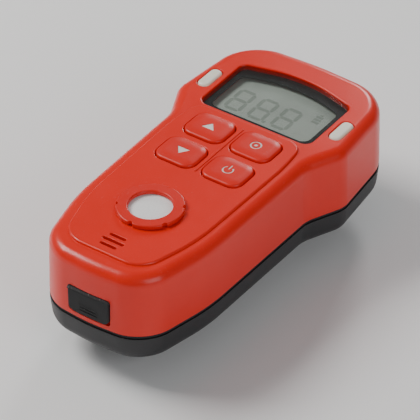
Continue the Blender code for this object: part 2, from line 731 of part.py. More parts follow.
def rear_shell():
    corners = body_corners()
    shell = piece(
        "rear_shell",
        loft(rounded_rise(corners, REAR_EDGE_Z, BACK_Z, BACK_EDGE_R, DRAFT)),
        "black_shell",
    )
    hollow = rounded_rise(
        corners, REAR_EDGE_Z + CUT, INSIDE_BACK_Z, BACK_EDGE_R - BACK_WALL, DRAFT, SIDE_WALL
    )
    carve(shell, "hollow", [loft(hollow)])
    foot = INSIDE_BACK_Z - BITE
    bosses = [rod(CASE_BOSS_R, (x, y, foot), (x, y, REAR_EDGE_Z)) for x, y in case_screw_places().values()]
    standoff_top = MAIN_BOARD_Z - BOARD - REST_GAP
    bosses += [rod(POST_R, (x, y, foot), (x, y, standoff_top)) for x, y in standoff_places().values()]
    bosses += [rod(CLIP_BOSS_R, (0, y, foot), (0, y, PAD_Z)) for y in CLIP_SCREW_Y]
    for sign in (-1, 1):
        near = BATTERY_Y + sign * (BATTERY_LENGTH / 2 + SLIDE_GAP)
        low, high = sorted((near, near + sign * RIB_THICKNESS))
        bosses.append(box(
            (-BATTERY_WIDTH / 4, low, foot), (BATTERY_WIDTH / 4, high, BATTERY_Z + RIB_GRIP)
        ))
    join(shell, "boss", bosses)
    holes = []
    for x, y in case_screw_places().values():
        holes.append(rod(CASE_HEAD_R + SLIDE_GAP, (x, y, BACK_Z - CUT), (x, y, BACK_Z + CASE_SUNK)))
        holes.append(rod(CASE_SCREW_R + RUN_GAP, (x, y, BACK_Z), (x, y, SEAM_Z + CUT), SMALL_ROUND))
    for x, y in standoff_places().values():
        bottom = BOARD_TOP_Z - SMALL_SCREW_LENGTH - SCREW_RUN_OUT
        holes.append(rod(SMALL_SCREW_R + RUN_GAP, (x, y, bottom), (x, y, standoff_top + CUT), SMALL_ROUND))
    for y in CLIP_SCREW_Y:
        tip = CLIP_SCREW_TIP_Z + RUN_GAP
        holes.append(rod(CLIP_SCREW_R + RUN_GAP, (0, y, BACK_Z - CUT), (0, y, tip), SMALL_ROUND))
    carve(shell, "hole", holes)


def shell_seal():
    corners = body_corners()
    low, high = SEAM_Z - SEAL_THICKNESS / 2, SEAM_Z + SEAL_THICKNESS / 2
    seal = piece("shell_seal", prism(rounded(corners, REST_GAP), low, high), "rubber")
    inner = rounded(corners, REST_GAP + SEAL_WIDTH)
    carve(seal, "middle", [prism(inner, low - CUT, high + CUT)])


def case_screws():
    for place, (x, y) in case_screw_places().items():
        head = BACK_Z + CASE_SUNK - REST_GAP
        bm = stepped([
            (CASE_HEAD_R, head - CASE_HEAD),
            (CASE_HEAD_R, head),
            (CASE_SCREW_R, head),
            (CASE_SCREW_R, head + CASE_SCREW_LENGTH),
        ], (x, y))
        screw = piece(f"case_screw_{place}", bm, "steel")
        cross_slot(screw, (x, y, head - CASE_HEAD), CASE_HEAD_R)


def cross_slot(screw, place, head_r):
    """A cross recess in a screw head whose outer face is at place and looks down."""
    x, y, z = place
    arm, half = head_r * 0.6, 0.3 * MM
    low, high = z - CUT, z + 0.7 * MM
    carve(screw, "slot", [
        box((x - arm, y - half, low), (x + arm, y + half, high)),
        box((x - half, y - arm, low), (x + half, y + arm, high)),
    ])


# ---- Display and keys ----

def display():
    piece("display_window", prism(rounded(window_corners()), WINDOW_Z - WINDOW_THICKNESS, WINDOW_Z),
          "clear_window")
    low = GASKET_Z - GASKET_THICKNESS
    gasket = piece("window_gasket", prism(rounded(window_corners(), 0.2 * MM), low, GASKET_Z), "rubber")
    view = rounded(window_corners(GASKET_SIDE, GASKET_TOP))
    carve(gasket, "view", [prism(view, low - CUT, GASKET_Z + CUT)])
    middle = (0.0, (WINDOW_TOP + WINDOW_BOTTOM) / 2)
    height = WINDOW_HEIGHT - 0.5 * MM
    glass = rounded(rectangle(2 * LCD_HALF, height, 0.8 * MM, middle), steps=2)
    piece("lcd_panel", prism(glass, LCD_Z - LCD_THICKNESS, LCD_Z), "lcd_glass")
    piece("lcd_backlight", prism(glass, BACKLIGHT_Z - BACKLIGHT_THICKNESS, BACKLIGHT_Z), "white_plastic")


def key_board():
    half = LCD_HALF + 0.3 * MM
    top = WINDOW_TOP + 2.0 * MM
    end = SENSOR_Y + PORT_HOLE_R + LUG_REACH + 1.0 * MM
    corner = 0.8 * MM
    outline = both_sides([
        (half, top, corner), (half, WING_TOP, corner), (WING_HALF, WING_TOP, corner),
        (WING_HALF, WING_END, corner), (half, WING_END - 2.0 * MM, corner), (half, end, corner),
    ])
    low = KEY_BOARD_Z - BOARD
    board = piece("key_board", prism(rounded(outline, steps=2), low, KEY_BOARD_Z), "board_green")
    carve(board, "hole", [
        rod(SMALL_SCREW_R + RUN_GAP, (x, y, low - CUT), (x, y, KEY_BOARD_Z + CUT), SMALL_ROUND)
        for x, y in wing_screw_places().values()
    ])
    for side, (x, y) in wing_screw_places().items():
        head = low - REST_GAP
        bm = stepped([
            (SMALL_HEAD_R, head - SMALL_HEAD), (SMALL_HEAD_R, head),
            (SMALL_SCREW_R, head), (SMALL_SCREW_R, head + SMALL_SCREW_LENGTH),
        ], (x, y))
        piece(f"display_screw_{side}", bm, "steel")


def keys():
    """Hard key caps, the silicone mat under them and the switches that they work."""
    for name, centre in key_places().items():
        cap = rectangle(KEY_WIDTH, KEY_HEIGHT, KEY_CORNER_R, centre)
        flange = rounded(cap, -KEY_FLANGE)
        top = PANEL_Z + KEY_RISE
        bm = loft([
            (flange, KEY_FLANGE_Z - KEY_FLANGE_THICKNESS), (flange, KEY_FLANGE_Z),
            (rounded(cap), KEY_FLANGE_Z), (rounded(cap), top - 0.5 * MM),
            (rounded(cap, 0.15 * MM), top - 0.15 * MM), (rounded(cap, 0.6 * MM), top),
        ])
        set_pivot(piece(f"key_{name}", bm, "red_key"), (*centre, top))
        x, y = centre
        base = KEY_BOARD_Z + REST_GAP
        stem_top = MAT_Z - MAT_THICKNESS - REST_GAP
        side = SWITCH_SIDE / 2
        can = box((x - side, y - side, base), (x + side, y + side, stem_top - SWITCH_BUTTON))
        switch = piece(f"key_switch_{name}", can, "steel")
        join(switch, "stem", [rod(SWITCH_BUTTON_R, (x, y, base + BITE), (x, y, stem_top), SMALL_ROUND)])
    xs, ys = zip(*key_places().values())
    width = max(xs) - min(xs) + KEY_WIDTH + 2 * MAT_MARGIN
    height = max(ys) - min(ys) + KEY_HEIGHT + 2 * MAT_MARGIN
    middle = ((max(xs) + min(xs)) / 2, (max(ys) + min(ys)) / 2)
    sheet = prism(rounded(rectangle(width, height, 3.0 * MM, middle)), MAT_Z - MAT_THICKNESS, MAT_Z)
    mat = piece("keypad_mat", sheet, "silicone")
    wells = [
        rounded(rectangle(KEY_WIDTH, KEY_HEIGHT, KEY_CORNER_R, centre), -KEY_FLANGE - SLIDE_GAP)
        for centre in key_places().values()
    ]
    carve(mat, "well", [prism(well, MAT_Z - MAT_WELL, MAT_Z + CUT) for well in wells])


def alarm_lights():
    for side, centre in lens_places().items():
        lens = rectangle(LENS_WIDTH, LENS_HEIGHT, LENS_WIDTH / 2 - 0.05 * MM, centre)
        top = FACE_Z + LENS_RISE
        low = UNDER_FACE - REST_GAP
        bm = loft([
            (rounded(lens, -LENS_FLANGE), low - LENS_FLANGE_THICKNESS), (rounded(lens, -LENS_FLANGE), low),
            (rounded(lens), low), (rounded(lens), top - 0.4 * MM), (rounded(lens, 0.5 * MM), top),
        ])
        piece(f"alarm_lens_{side}", bm, "frosted_lens")
        x, y = centre
        base = KEY_BOARD_Z + REST_GAP
        half = LED_SIDE / 2
        piece(f"alarm_led_{side}", box((x - half, y - half, base), (x + half, y + half, base + LED_HEIGHT)),
              "white_plastic")


# ---- Sensor ----

def sensor_cap():
    """The bayonet ring over the sensor. Its lugs turn under the shell's face."""
    top = CAP_RIM_Z + CAP_THICKNESS
    cap = piece("sensor_cap", turned([
        (CAP_OPENING_R, CAP_RIM_Z), (CAP_OPENING_R, top - CAP_BEVEL), (CAP_OPENING_R + CAP_BEVEL, top),
        (CAP_R - CAP_BEVEL, top), (CAP_R, top - CAP_BEVEL), (CAP_R, CAP_RIM_Z), (SKIRT_R, CAP_RIM_Z),
        (SKIRT_R, SKIRT_END_Z), (SKIRT_INNER_R, SKIRT_END_Z), (SKIRT_INNER_R, CAP_RIM_Z),
    ], (0.0, SENSOR_Y), 2 * ROUND), "red_key")
    lug_top = SKIRT_END_Z + LUG_THICKNESS
    join(cap, "lug", [
        lug_wedge(turn, LUG_ARC, SKIRT_R - BITE, SKIRT_R + LUG_REACH, SKIRT_END_Z, lug_top)
        for turn in (0.0, math.pi)
    ])
    notches = []
    for i in range(CAP_NOTCHES):
        angle = 2 * math.pi * (i + 0.5) / CAP_NOTCHES
        x, y = CAP_R * math.cos(angle), SENSOR_Y + CAP_R * math.sin(angle)
        notches.append(rod(CAP_NOTCH_R, (x, y, CAP_RIM_Z - CUT), (x, y, top + CUT), SMALL_ROUND))
    carve(cap, "notch", notches)
    set_pivot(cap, (0.0, SENSOR_Y, CAP_RIM_Z))


def sensor_stack():
    """From the outside in: filter, mesh, seal, sensor and socket."""
    centre = (0.0, SENSOR_Y)
    disc = circle(FILTER_R, centre)
    piece("filter_disc", prism(disc, FILTER_Z - FILTER_THICKNESS, FILTER_Z), "white_membrane")
    piece("sensor_mesh", prism(disc, MESH_Z - MESH_THICKNESS, MESH_Z), "steel")
    seal = ring(FILTER_R, FILTER_R - SENSOR_SEAL_WIDTH, SENSOR_Z + REST_GAP, SENSOR_SEAL_Z, centre)
    piece("sensor_gasket", seal, "rubber")
    bevel = 0.8 * MM
    sensor = piece("gas_sensor", stepped([
        (SENSOR_R, SENSOR_BOTTOM_Z), (SENSOR_R, SENSOR_Z - bevel), (SENSOR_R - bevel, SENSOR_Z),
    ], centre), "white_plastic")
    socket_top = SENSOR_BOTTOM_Z - REST_GAP
    block = prism(circle(SENSOR_R - 1.0 * MM, centre), BOARD_TOP_Z, socket_top)
    socket = piece("sensor_socket", block, "chip_black")
    pins, pin_holes = [], []
    for i in range(3):
        angle = math.pi / 2 + 2 * math.pi * i / 3
        x = SENSOR_PIN_CIRCLE_R * math.cos(angle)
        y = SENSOR_Y + SENSOR_PIN_CIRCLE_R * math.sin(angle)
        tip = SENSOR_BOTTOM_Z - SENSOR_PIN
        pins.append(rod(SENSOR_PIN_R, (x, y, tip), (x, y, SENSOR_BOTTOM_Z + BITE), SMALL_ROUND))
        bore_end = tip - RUN_GAP
        pin_holes.append(rod(SENSOR_PIN_R + RUN_GAP, (x, y, bore_end), (x, y, socket_top + CUT), SMALL_ROUND))
    join(sensor, "pin", pins)
    carve(socket, "pin_hole", pin_holes)


# ---- Main board and what it carries ----

def main_board():
    top = MAIN_BOARD_TOP
    end = END_Y + MAIN_BOARD_END_GAP
    shoulder = END_Y + MAIN_BOARD_SHOULDER
    narrow = CASE_BOTTOM_X - CASE_BOSS_R - SLIDE_GAP
    corner = 1.5 * MM
    outline = both_sides([
        (MAIN_BOARD_HALF, top, corner), (MAIN_BOARD_HALF, shoulder, corner),
        (narrow, shoulder - 3.0 * MM, corner), (narrow, end, corner),
    ])
    low = MAIN_BOARD_Z - BOARD
    board = piece("main_board", prism(rounded(outline, steps=2), low, MAIN_BOARD_Z), "board_green")
    carve(board, "hole", [
        rod(SMALL_SCREW_R + RUN_GAP, (x, y, low - CUT), (x, y, MAIN_BOARD_Z + CUT), SMALL_ROUND)
        for x, y in standoff_places().values()
    ])
    for place, (x, y) in standoff_places().items():
        head = BOARD_TOP_Z
        bm = stepped([
            (SMALL_SCREW_R, head - SMALL_SCREW_LENGTH), (SMALL_SCREW_R, head),
            (SMALL_HEAD_R, head), (SMALL_HEAD_R, head + SMALL_HEAD),
        ], (x, y))
        piece(f"board_screw_{place}", bm, "steel")
    header_y = BATTERY_Y + BATTERY_LENGTH / 2 - HEADER_ABOVE_BATTERY_END
    piece("board_connector", box(
        (-HEADER_WIDTH / 2, header_y - HEADER_DEPTH / 2, BOARD_TOP_Z),
        (HEADER_WIDTH / 2, header_y + HEADER_DEPTH / 2, KEY_BOARD_Z - BOARD - REST_GAP),
    ), "chip_black")
    half = MCU_SIDE / 2
    mcu_y = BATTERY_Y - 4.0 * MM
    chip = box((-half, mcu_y - half, BOARD_TOP_Z), (half, mcu_y + half, BOARD_TOP_Z + MCU_HEIGHT))
    piece("microcontroller", chip, "chip_black")


def vibration_motor():
    """A pager motor and the off-centre weight on its shaft."""
    end = MAIN_BOARD_TOP - WEIGHT_FROM_BOARD_END
    start = end - WEIGHT_LENGTH
    front = start - 2 * REST_GAP
    z = BOARD_TOP_Z + MOTOR_R
    can = rod(MOTOR_R, (MOTOR_X, front - MOTOR_LENGTH, z), (MOTOR_X, front, z))
    motor = piece("vibration_motor", can, "steel")
    bore = rod(
        MOTOR_SHAFT_R + RUN_GAP, (MOTOR_X, front - SHAFT_IN_MOTOR - RUN_GAP, z), (MOTOR_X, front + CUT, z),
        SMALL_ROUND,
    )
    carve(motor, "bore", [bore])
    steps = 18
    below = math.asin(WEIGHT_FLAT / WEIGHT_R)
    angles = [-below + (math.pi + 2 * below) * i / steps for i in range(steps + 1)]
    segment = prism([(WEIGHT_R * math.cos(a), WEIGHT_R * math.sin(a)) for a in angles], 0.0, WEIGHT_LENGTH)
    turn = Matrix.Translation((MOTOR_X, end, z)) @ Matrix.Rotation(math.pi / 2, 4, "X")
    bmesh.ops.transform(segment, matrix=turn, verts=segment.verts)
    weight = piece("motor_weight", segment, "steel")
    shaft = rod(MOTOR_SHAFT_R, (MOTOR_X, front - SHAFT_IN_MOTOR, z), (MOTOR_X, start + BITE, z), SMALL_ROUND)
    join(weight, "shaft", [shaft])
    set_pivot(weight, (MOTOR_X, start, z))


def buzzer():
    top = UNDER_FACE - REST_GAP
    can = piece("buzzer", prism(circle(BUZZER_R, (0.0, BUZZER_Y)), top - BUZZER_HEIGHT, top), "chip_black")
    carve(can, "port", [rod(1.2 * MM, (0, BUZZER_Y, top - 2.0 * MM), (0, BUZZER_Y, top + CUT), SMALL_ROUND)])


def charging_jack():
    front = RECESS_FLOOR_Y + PORT_PAD + REST_GAP
    body = box(
        (-JACK_WIDTH / 2, front, BOARD_TOP_Z),
        (JACK_WIDTH / 2, front + JACK_LENGTH, BOARD_TOP_Z + JACK_HEIGHT),
    )
    jack = piece("charging_jack", body, "chip_black")
    bore = rod(JACK_BORE_R, (0, front - CUT, JACK_Z), (0, front + JACK_BORE_DEPTH, JACK_Z), SMALL_ROUND)
    carve(jack, "bore", [bore])


def port_cover():
    """A rubber flap over the jack, which swings on the round bead along its upper edge."""
    inner = RECESS_FLOOR_Y - REST_GAP
    outer = inner - COVER_THICKNESS
    bead_y = inner - COVER_BEAD_R
    bead_z = JACK_Z + RECESS_ABOVE_PORT - REST_GAP - COVER_BEAD_R
    half = RECESS_WIDTH / 2 - SLIDE_GAP
    low = JACK_Z - RECESS_BELOW_PORT + SLIDE_GAP
    flap = piece("port_cover", box((-half, outer, low), (half, inner, bead_z)), "rubber")
    join(flap, "part", [
        rod(COVER_BEAD_R, (-half, bead_y, bead_z), (half, bead_y, bead_z), SMALL_ROUND),
        rod(COVER_PLUG_R, (0, inner - BITE, JACK_Z), (0, inner + REST_GAP + COVER_PLUG, JACK_Z)),
    ])
    set_pivot(flap, (0.0, bead_y, bead_z))


def battery():
    outline = rounded(rectangle(BATTERY_WIDTH, BATTERY_LENGTH, BATTERY_CORNER_R, (0, BATTERY_Y)))
    piece("battery", prism(outline, BATTERY_Z, BATTERY_Z + BATTERY_THICKNESS), "cell_wrap")
    pad_end = BATTERY_Y + BATTERY_LENGTH / 2 - PAD_FROM_END
    piece("battery_pad", box(
        (-PAD_WIDTH / 2, pad_end - PAD_LENGTH, INSIDE_BACK_Z + REST_GAP), (PAD_WIDTH / 2, pad_end, PAD_Z)
    ), "rubber")


def battery_leads():
    """The plug on the main board, and the two leads that come round the board's end to it."""
    width, depth, height = PLUG_SIZE
    plug_x = LEAD_X + LEAD_PITCH / 2
    plug_end = MAIN_BOARD_TOP - PLUG_FROM_BOARD_END
    piece("battery_plug", box(
        (plug_x - width / 2, plug_end - depth, BOARD_TOP_Z),
        (plug_x + width / 2, plug_end, BOARD_TOP_Z + height),
    ), "white_plastic")
    start_y = BATTERY_Y + BATTERY_LENGTH / 2 + REST_GAP
    start_z = BATTERY_Z + BATTERY_THICKNESS - 2 * LEAD_R
    lead_z = BOARD_TOP_Z + height / 2
    turn_y = MAIN_BOARD_TOP + 4.0 * MM
    under = start_z + 0.2 * MM
    places = (("positive", LEAD_X, "lead_red"), ("negative", LEAD_X + LEAD_PITCH, "lead_black"))
    for name, x, finish in places:
        knots = [
            (x, start_y, start_z), (x, start_y + 4.0 * MM, under + 0.6 * MM),
            (x, MAIN_BOARD_TOP - 2.0 * MM, under), (x, turn_y - 0.6 * MM, under + 1.6 * MM),
            (x, turn_y, MAIN_BOARD_Z - BOARD / 2), (x, turn_y - 1.4 * MM, lead_z - 0.3 * MM),
            (x, plug_end + REST_GAP, lead_z),
        ]
        tube(f"battery_lead_{name}", smooth_route(knots, 1.6 * MM), LEAD_R, finish)


# ---- Belt clip ----

def clip_base():
    half = BASE_WIDTH / 2
    top, end = PIN_Y + BASE_ABOVE_PIN, PIN_Y - BASE_BELOW_PIN
    outline = rounded(rectangle(BASE_WIDTH, top - end, 2.0 * MM, (0, (top + end) / 2)))
    base = piece("clip_base", prism(outline, BASE_Z, BASE_Z + PLATE), "steel")
    ear = ear_outline(EAR_R, EAR_R, BASE_Z + PLATE / 2, (PIN_Y, PIN_Z))
    join(base, "ear", [
        side_plate(ear, *sorted((sign * EAR_INNER, sign * (half - EAR_SETBACK)))) for sign in (-1, 1)
    ])
    carve(base, "hole", [
        rod(PIN_R + RUN_GAP, (-half - CUT, PIN_Y, PIN_Z), (half + CUT, PIN_Y, PIN_Z), PIN_ROUND),
        *(rod(CLIP_SCREW_R + RUN_GAP, (0, y, BASE_Z - CUT), (0, y, BASE_Z + PLATE + CUT), SMALL_ROUND)
          for y in CLIP_SCREW_Y),
    ])


def clip_lever():
    """The sprung plate that closes on the belt. It turns on the pin."""
    top, end = PIN_Y + LEVER_ABOVE_PIN, PIN_Y - LEVER_BELOW_PIN
    outline = rounded(rectangle(2 * LEVER_HALF, top - end, LEVER_CORNER_R, (0, (top + end) / 2)))
    lever = piece("clip_lever", prism(outline, 0.0, PLATE), "steel")
    ear = ear_outline(1.6 * EAR_R, EAR_R, PLATE / 2, (PIN_Y, PIN_Z))
    join(lever, "ear", [
        side_plate(ear, *sorted((sign * LEVER_FLANGE_X, sign * (LEVER_HALF - EAR_SETBACK))))
        for sign in (-1, 1)
    ])
    jaw_half = LEVER_HALF - LEVER_CORNER_R - JAW_INSET
    jaw_z = BASE_Z - REST_GAP
    near, far = end + JAW_SETBACK, end + JAW_SETBACK + PLATE
    join(lever, "jaw", [box((-jaw_half, near, PLATE / 2), (jaw_half, far, jaw_z))])
    teeth = []
    for i in range(1, TOOTH_COUNT):
        x = -jaw_half + 2 * jaw_half * i / TOOTH_COUNT
        teeth.append(rod(TOOTH_DEPTH, (x, near - CUT, jaw_z), (x, far + CUT, jaw_z), 12))
    carve(lever, "tooth", teeth)
    hole = rod(
        PIN_R + RUN_GAP, (-LEVER_HALF - CUT, PIN_Y, PIN_Z), (LEVER_HALF + CUT, PIN_Y, PIN_Z), PIN_ROUND
    )
    carve(lever, "pin_hole", [hole])
    set_pivot(lever, (0.0, PIN_Y, PIN_Z))


def clip_pin():
    reach = LEVER_HALF + REST_GAP
    shank = rod(PIN_R, (-reach - BITE, PIN_Y, PIN_Z), (reach + BITE, PIN_Y, PIN_Z), PIN_ROUND)
    pin = piece("clip_pin", shank, "steel")
    join(pin, "head", [
        rod(PIN_HEAD_R, (sign * reach, PIN_Y, PIN_Z), (sign * (reach + PIN_HEAD), PIN_Y, PIN_Z), PIN_ROUND)
        for sign in (-1, 1)
    ])


def clip_spring():
    """A torsion spring round the pin, whose legs push the lever's thumb end off the base."""
    coil_r = PIN_R + SPRING_GAP + SPRING_WIRE_R
    upper = BASE_Z - REST_GAP - SPRING_WIRE_R
    lower = PLATE + REST_GAP + SPRING_WIRE_R
    half = SPRING_TURNS * SPRING_PITCH / 2
    count = SPRING_TURNS * 12 + 6
    points = [(-half, PIN_Y + SPRING_LEG, upper)]
    for i in range(count + 1):
        angle = math.pi / 2 + (2 * SPRING_TURNS + 1) * math.pi * i / count
        x = -half + 2 * half * i / count
        points.append((x, PIN_Y + coil_r * math.cos(angle), PIN_Z + coil_r * math.sin(angle)))
    points.append((half, PIN_Y + SPRING_LEG, lower))
    tube("clip_spring", points, SPRING_WIRE_R, "steel")


def clip_screws():
    for place, y in zip(("upper", "lower"), CLIP_SCREW_Y):
        head = BASE_Z - REST_GAP
        bm = stepped([
            (CLIP_SCREW_HEAD_R - 0.5 * MM, head - CLIP_SCREW_HEAD),
            (CLIP_SCREW_HEAD_R, head - CLIP_SCREW_HEAD / 2),
            (CLIP_SCREW_HEAD_R, head), (CLIP_SCREW_R, head), (CLIP_SCREW_R, head + CLIP_SCREW_LENGTH),
        ], (0.0, y))
        screw = piece(f"clip_screw_{place}", bm, "steel")
        cross_slot(screw, (0.0, y, head - CLIP_SCREW_HEAD), CLIP_SCREW_HEAD_R)


def build():
    clear_scene()
    front_shell()
    rear_shell()
    shell_seal()
    case_screws()
    display()
    key_board()
    keys()
    alarm_lights()
    sensor_cap()
    sensor_stack()
    main_board()
    vibration_motor()
    buzzer()
    charging_jack()
    port_cover()
    battery()
    battery_leads()
    clip_base()
    clip_lever()
    clip_pin()
    clip_spring()
    clip_screws()


build()
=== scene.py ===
"""The finished look of a hand-held gas detector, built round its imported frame.

Units are metres. +X is to the user's right, +Y towards the top of the device and +Z out of its
face. Run it as a script: it registers its panel and operators, and calls them in order.
"""

import math

import bmesh
import bpy
from mathutils import Matrix, Vector


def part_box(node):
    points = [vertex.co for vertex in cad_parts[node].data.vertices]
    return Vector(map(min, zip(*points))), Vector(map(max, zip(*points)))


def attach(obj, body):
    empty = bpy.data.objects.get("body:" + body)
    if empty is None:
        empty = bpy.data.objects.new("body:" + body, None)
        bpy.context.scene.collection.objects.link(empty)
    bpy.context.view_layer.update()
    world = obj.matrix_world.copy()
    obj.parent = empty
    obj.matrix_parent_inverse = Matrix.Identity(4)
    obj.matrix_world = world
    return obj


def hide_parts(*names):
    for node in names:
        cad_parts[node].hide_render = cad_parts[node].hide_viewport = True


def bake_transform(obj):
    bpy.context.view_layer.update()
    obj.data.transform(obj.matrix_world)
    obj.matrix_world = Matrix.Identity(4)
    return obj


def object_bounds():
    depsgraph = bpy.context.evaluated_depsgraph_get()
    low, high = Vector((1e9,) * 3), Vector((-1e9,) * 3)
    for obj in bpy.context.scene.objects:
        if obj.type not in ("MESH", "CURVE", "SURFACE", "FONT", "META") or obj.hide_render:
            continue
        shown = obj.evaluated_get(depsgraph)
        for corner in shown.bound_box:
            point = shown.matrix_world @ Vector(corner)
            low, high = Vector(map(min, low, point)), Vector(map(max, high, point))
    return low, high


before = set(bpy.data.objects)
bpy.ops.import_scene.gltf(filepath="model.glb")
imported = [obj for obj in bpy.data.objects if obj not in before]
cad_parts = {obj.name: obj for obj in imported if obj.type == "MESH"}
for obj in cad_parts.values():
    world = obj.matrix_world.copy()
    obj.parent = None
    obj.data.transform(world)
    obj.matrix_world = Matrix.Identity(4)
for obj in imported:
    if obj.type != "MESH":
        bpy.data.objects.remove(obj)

bl_info = {
    "name": "Portable gas detector",
    "version": (1, 0, 0),
    "blender": (4, 5, 0),
    "location": "View3D > Sidebar > Gas Detector",
    "description": "Builds the casing, display, keys, sensor port and belt clip of a gas detector",
    "category": "Object",
}

MM = 0.001
CUT = 1.0 * MM  # how far a cutter runs past what it cuts
SINK = 0.3 * MM  # how far a joined solid sinks into the one that carries it
RIB = 1.2 * MM  # thickness of the ribs that hold the battery
RIB_GRIP = 1.6 * MM  # how far they stand beside it
FOOT = 1.0 * MM  # upright stretch of each shell's wall beside the seal
WELD = 0.001 * MM  # vertices closer than this are one
SHARP = 0.05 * MM  # least radius of a corner
WINDOW_SEAT = 2.5 * MM  # from the face to the ledge that carries the window
COVER_SEAT = 1.6 * MM  # depth of the recess for the charging cover
SOCKET_HOLE = 3.3 * MM  # radius of the hole round the charging socket
LUG_ARC = math.radians(24)  # sweep of a bayonet lug
LUG_SLOT_ARC = math.radians(30)  # sweep of the slot that lets it in
LUG_SLOT_TURN = math.radians(60)  # from a lug to its slot
SCREW_WELL = (2.9 * MM, 3.0 * MM)  # radius and depth of the wells round the case screws
CLIP_BORE = 1.6 * MM  # radius of the holes for the clip's screws
CLIP_PAD = 2.7 * MM  # radius of the pads under them
SEAL_WIDTH = 1.7 * MM
SLOT_LENGTHS = (6.0 * MM, 8.0 * MM, 6.0 * MM)  # the sound slots, from the top one down
COLLAR_WALL, COLLAR_DEPTH = 1.1 * MM, 4.5 * MM  # the collar round the buzzer
PAD_HALF, PAD_BACK = 9.0 * MM, 2.0 * MM  # the pad behind the charging recess
PAD_BELOW, PAD_ABOVE = 4.9 * MM, 7.0 * MM  # how far it reaches from the socket's middle
KEY_RIB = (27.0 * MM, 4.8 * MM, 0.3 * MM)  # length, middle and height of the rib between the keys
DIGIT_GAP, BAR_GAP = 2.4 * MM, 0.18 * MM  # between digits, and between a digit's bars
SCALE_STEP, SCALE_BAR = 3.0 * MM, (2.3 * MM, 0.8 * MM)  # the row of bars under the digits
COVER_PLATE, COVER_BEAD = 1.3 * MM, 0.7 * MM  # the cover's thickness and its hinge's radius
COVER_RIB, COVER_RIB_STEP = (7.0 * MM, 0.6 * MM), 1.1 * MM
PLUG_RADIUS = 2.75 * MM
FIT = 0.1 * MM  # play between the clip's moving parts
JAW_INSET, JAW_STEP = 4.1 * MM, 0.2 * MM  # the jaw from the lever's sides and from its end
TOOTH_RADIUS, TEETH = 1.2 * MM, 4
GRIP_RADIUS, GRIP_STEP, GRIPS = 0.45 * MM, 1.7 * MM, 4  # the grooves for the thumb
LEVER_RIB, LEVER_GROOVE = (4.0 * MM, 22.0 * MM, 1.9 * MM), (3.0 * MM, 21.0 * MM, 1.4 * MM)
LEVER_RIB_PLACE, LEVER_RIB_RISE = (0.0, -6.0 * MM), 0.5 * MM
SPRING_TURNS = 5.5
CASE_SCREW, CLIP_SCREW = (1.4 * MM, 1.8 * MM), (1.5 * MM, 1.0 * MM)  # shank radius, head height
KEY_FLANGE, LENS_FLANGE = 1.2 * MM, 1.0 * MM  # thickness of the flanges under the face
INK_LOW, INK_HIGH = 0.01 * MM, 0.05 * MM  # the display's bars above its ground
DIGIT_FOOT = 3.4 * MM  # from the display's lower edge to its digits
DUST = (0.50, 0.47, 0.44)
ENDS, SIDES, LEVELS = ("top", "bottom"), ("left", "right"), ("upper", "lower")
HOUSING = "housing"
FRAME_LOW, FRAME_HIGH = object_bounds()


# ---- Settings ----

def size(name, description, default):
    return bpy.props.FloatProperty(
        name=name, description=description, default=default, min=0.0, unit="LENGTH", precision=5
    )


def colour(name, description, default):
    return bpy.props.FloatVectorProperty(
        name=name, description=description, default=default, size=3, min=0.0, max=1.0,
        subtype="COLOR",
    )


class CasingSizes(bpy.types.PropertyGroup):
    body_length: size("Body length", "From the top end to the bottom end", 130.0 * MM)
    head_width: size("Head width", "Across the shoulders", 66.0 * MM)
    grip_width: size("Grip width", "Across the neck below the shoulders", 54.0 * MM)
    head_length: size("Head length", "From the top end to the shoulders", 37.0 * MM)
    shoulder_length: size("Shoulder length", "From the shoulders to the neck", 13.0 * MM)
    head_taper: size("Head taper", "How far each side of the head leans in at the top", 3.5 * MM)
    crown_drop: size("Crown drop", "How far the top corners lie below the crown", 1.6 * MM)
    grip_taper: size("Grip taper", "How far each side leans in along the grip", 1.0 * MM)
    tail_length: size("Tail length", "The stretch that narrows to the bottom end", 28.0 * MM)
    tail_taper: size("Tail taper", "How far each side leans in along the tail", 7.0 * MM)
    tail_drop: size("Tail drop", "How far the bottom corners lie above the end", 1.5 * MM)
    draft: size("Draft", "How far the mould's draft leans the walls in", 0.4 * MM)
    side_wall: size("Side wall", "Thickness of the side walls", 2.2 * MM)
    face_wall: size("Face wall", "Thickness of the face", 3.2 * MM)
    face_edge: size("Face edge", "Radius of the edge round the face", 4.0 * MM)
    back_edge: size("Back edge", "Radius of the edge round the back", 5.0 * MM)
    opening_lip: size("Opening lip", "Radius of the edges round the openings", 0.45 * MM)
    clearance: size("Clearance", "Gap round a key, a lens or the window", 0.3 * MM)
    panel_rise: size("Panel rise", "How far the key panel stands above the face", 0.8 * MM)
    panel_inset: size("Panel inset", "How far the panel's sides lie inside the grip", 5.2 * MM)
    panel_half: size("Panel top half width", "Half the panel's width at its upper end", 20.5 * MM)
    panel_gap: size("Panel gap", "From the window to the panel", 1.8 * MM)
    panel_end: size("Panel end", "From the bottom end to the panel", 7.5 * MM)
    panel_edge: size("Panel edge", "Radius of the panel's edge", 0.7 * MM)
    rib_width: size("Rib width", "Width of the rib between the key columns", 1.0 * MM)
    slot_width: size("Sound slot width", "Width of each sound slot", 1.1 * MM)
    slot_pitch: size("Sound slot pitch", "Distance between sound slots", 2.5 * MM)
    boss: size("Boss radius", "Radius of the bosses round the case screws", 3.3 * MM)
    post: size("Post radius", "Radius of the posts that carry the boards", 2.6 * MM)
    screw_bore: size("Screw bore", "Radius of the bores for the case screws", 1.5 * MM)
    post_bore: size("Post bore", "Radius of the bores in the posts", 1.1 * MM)


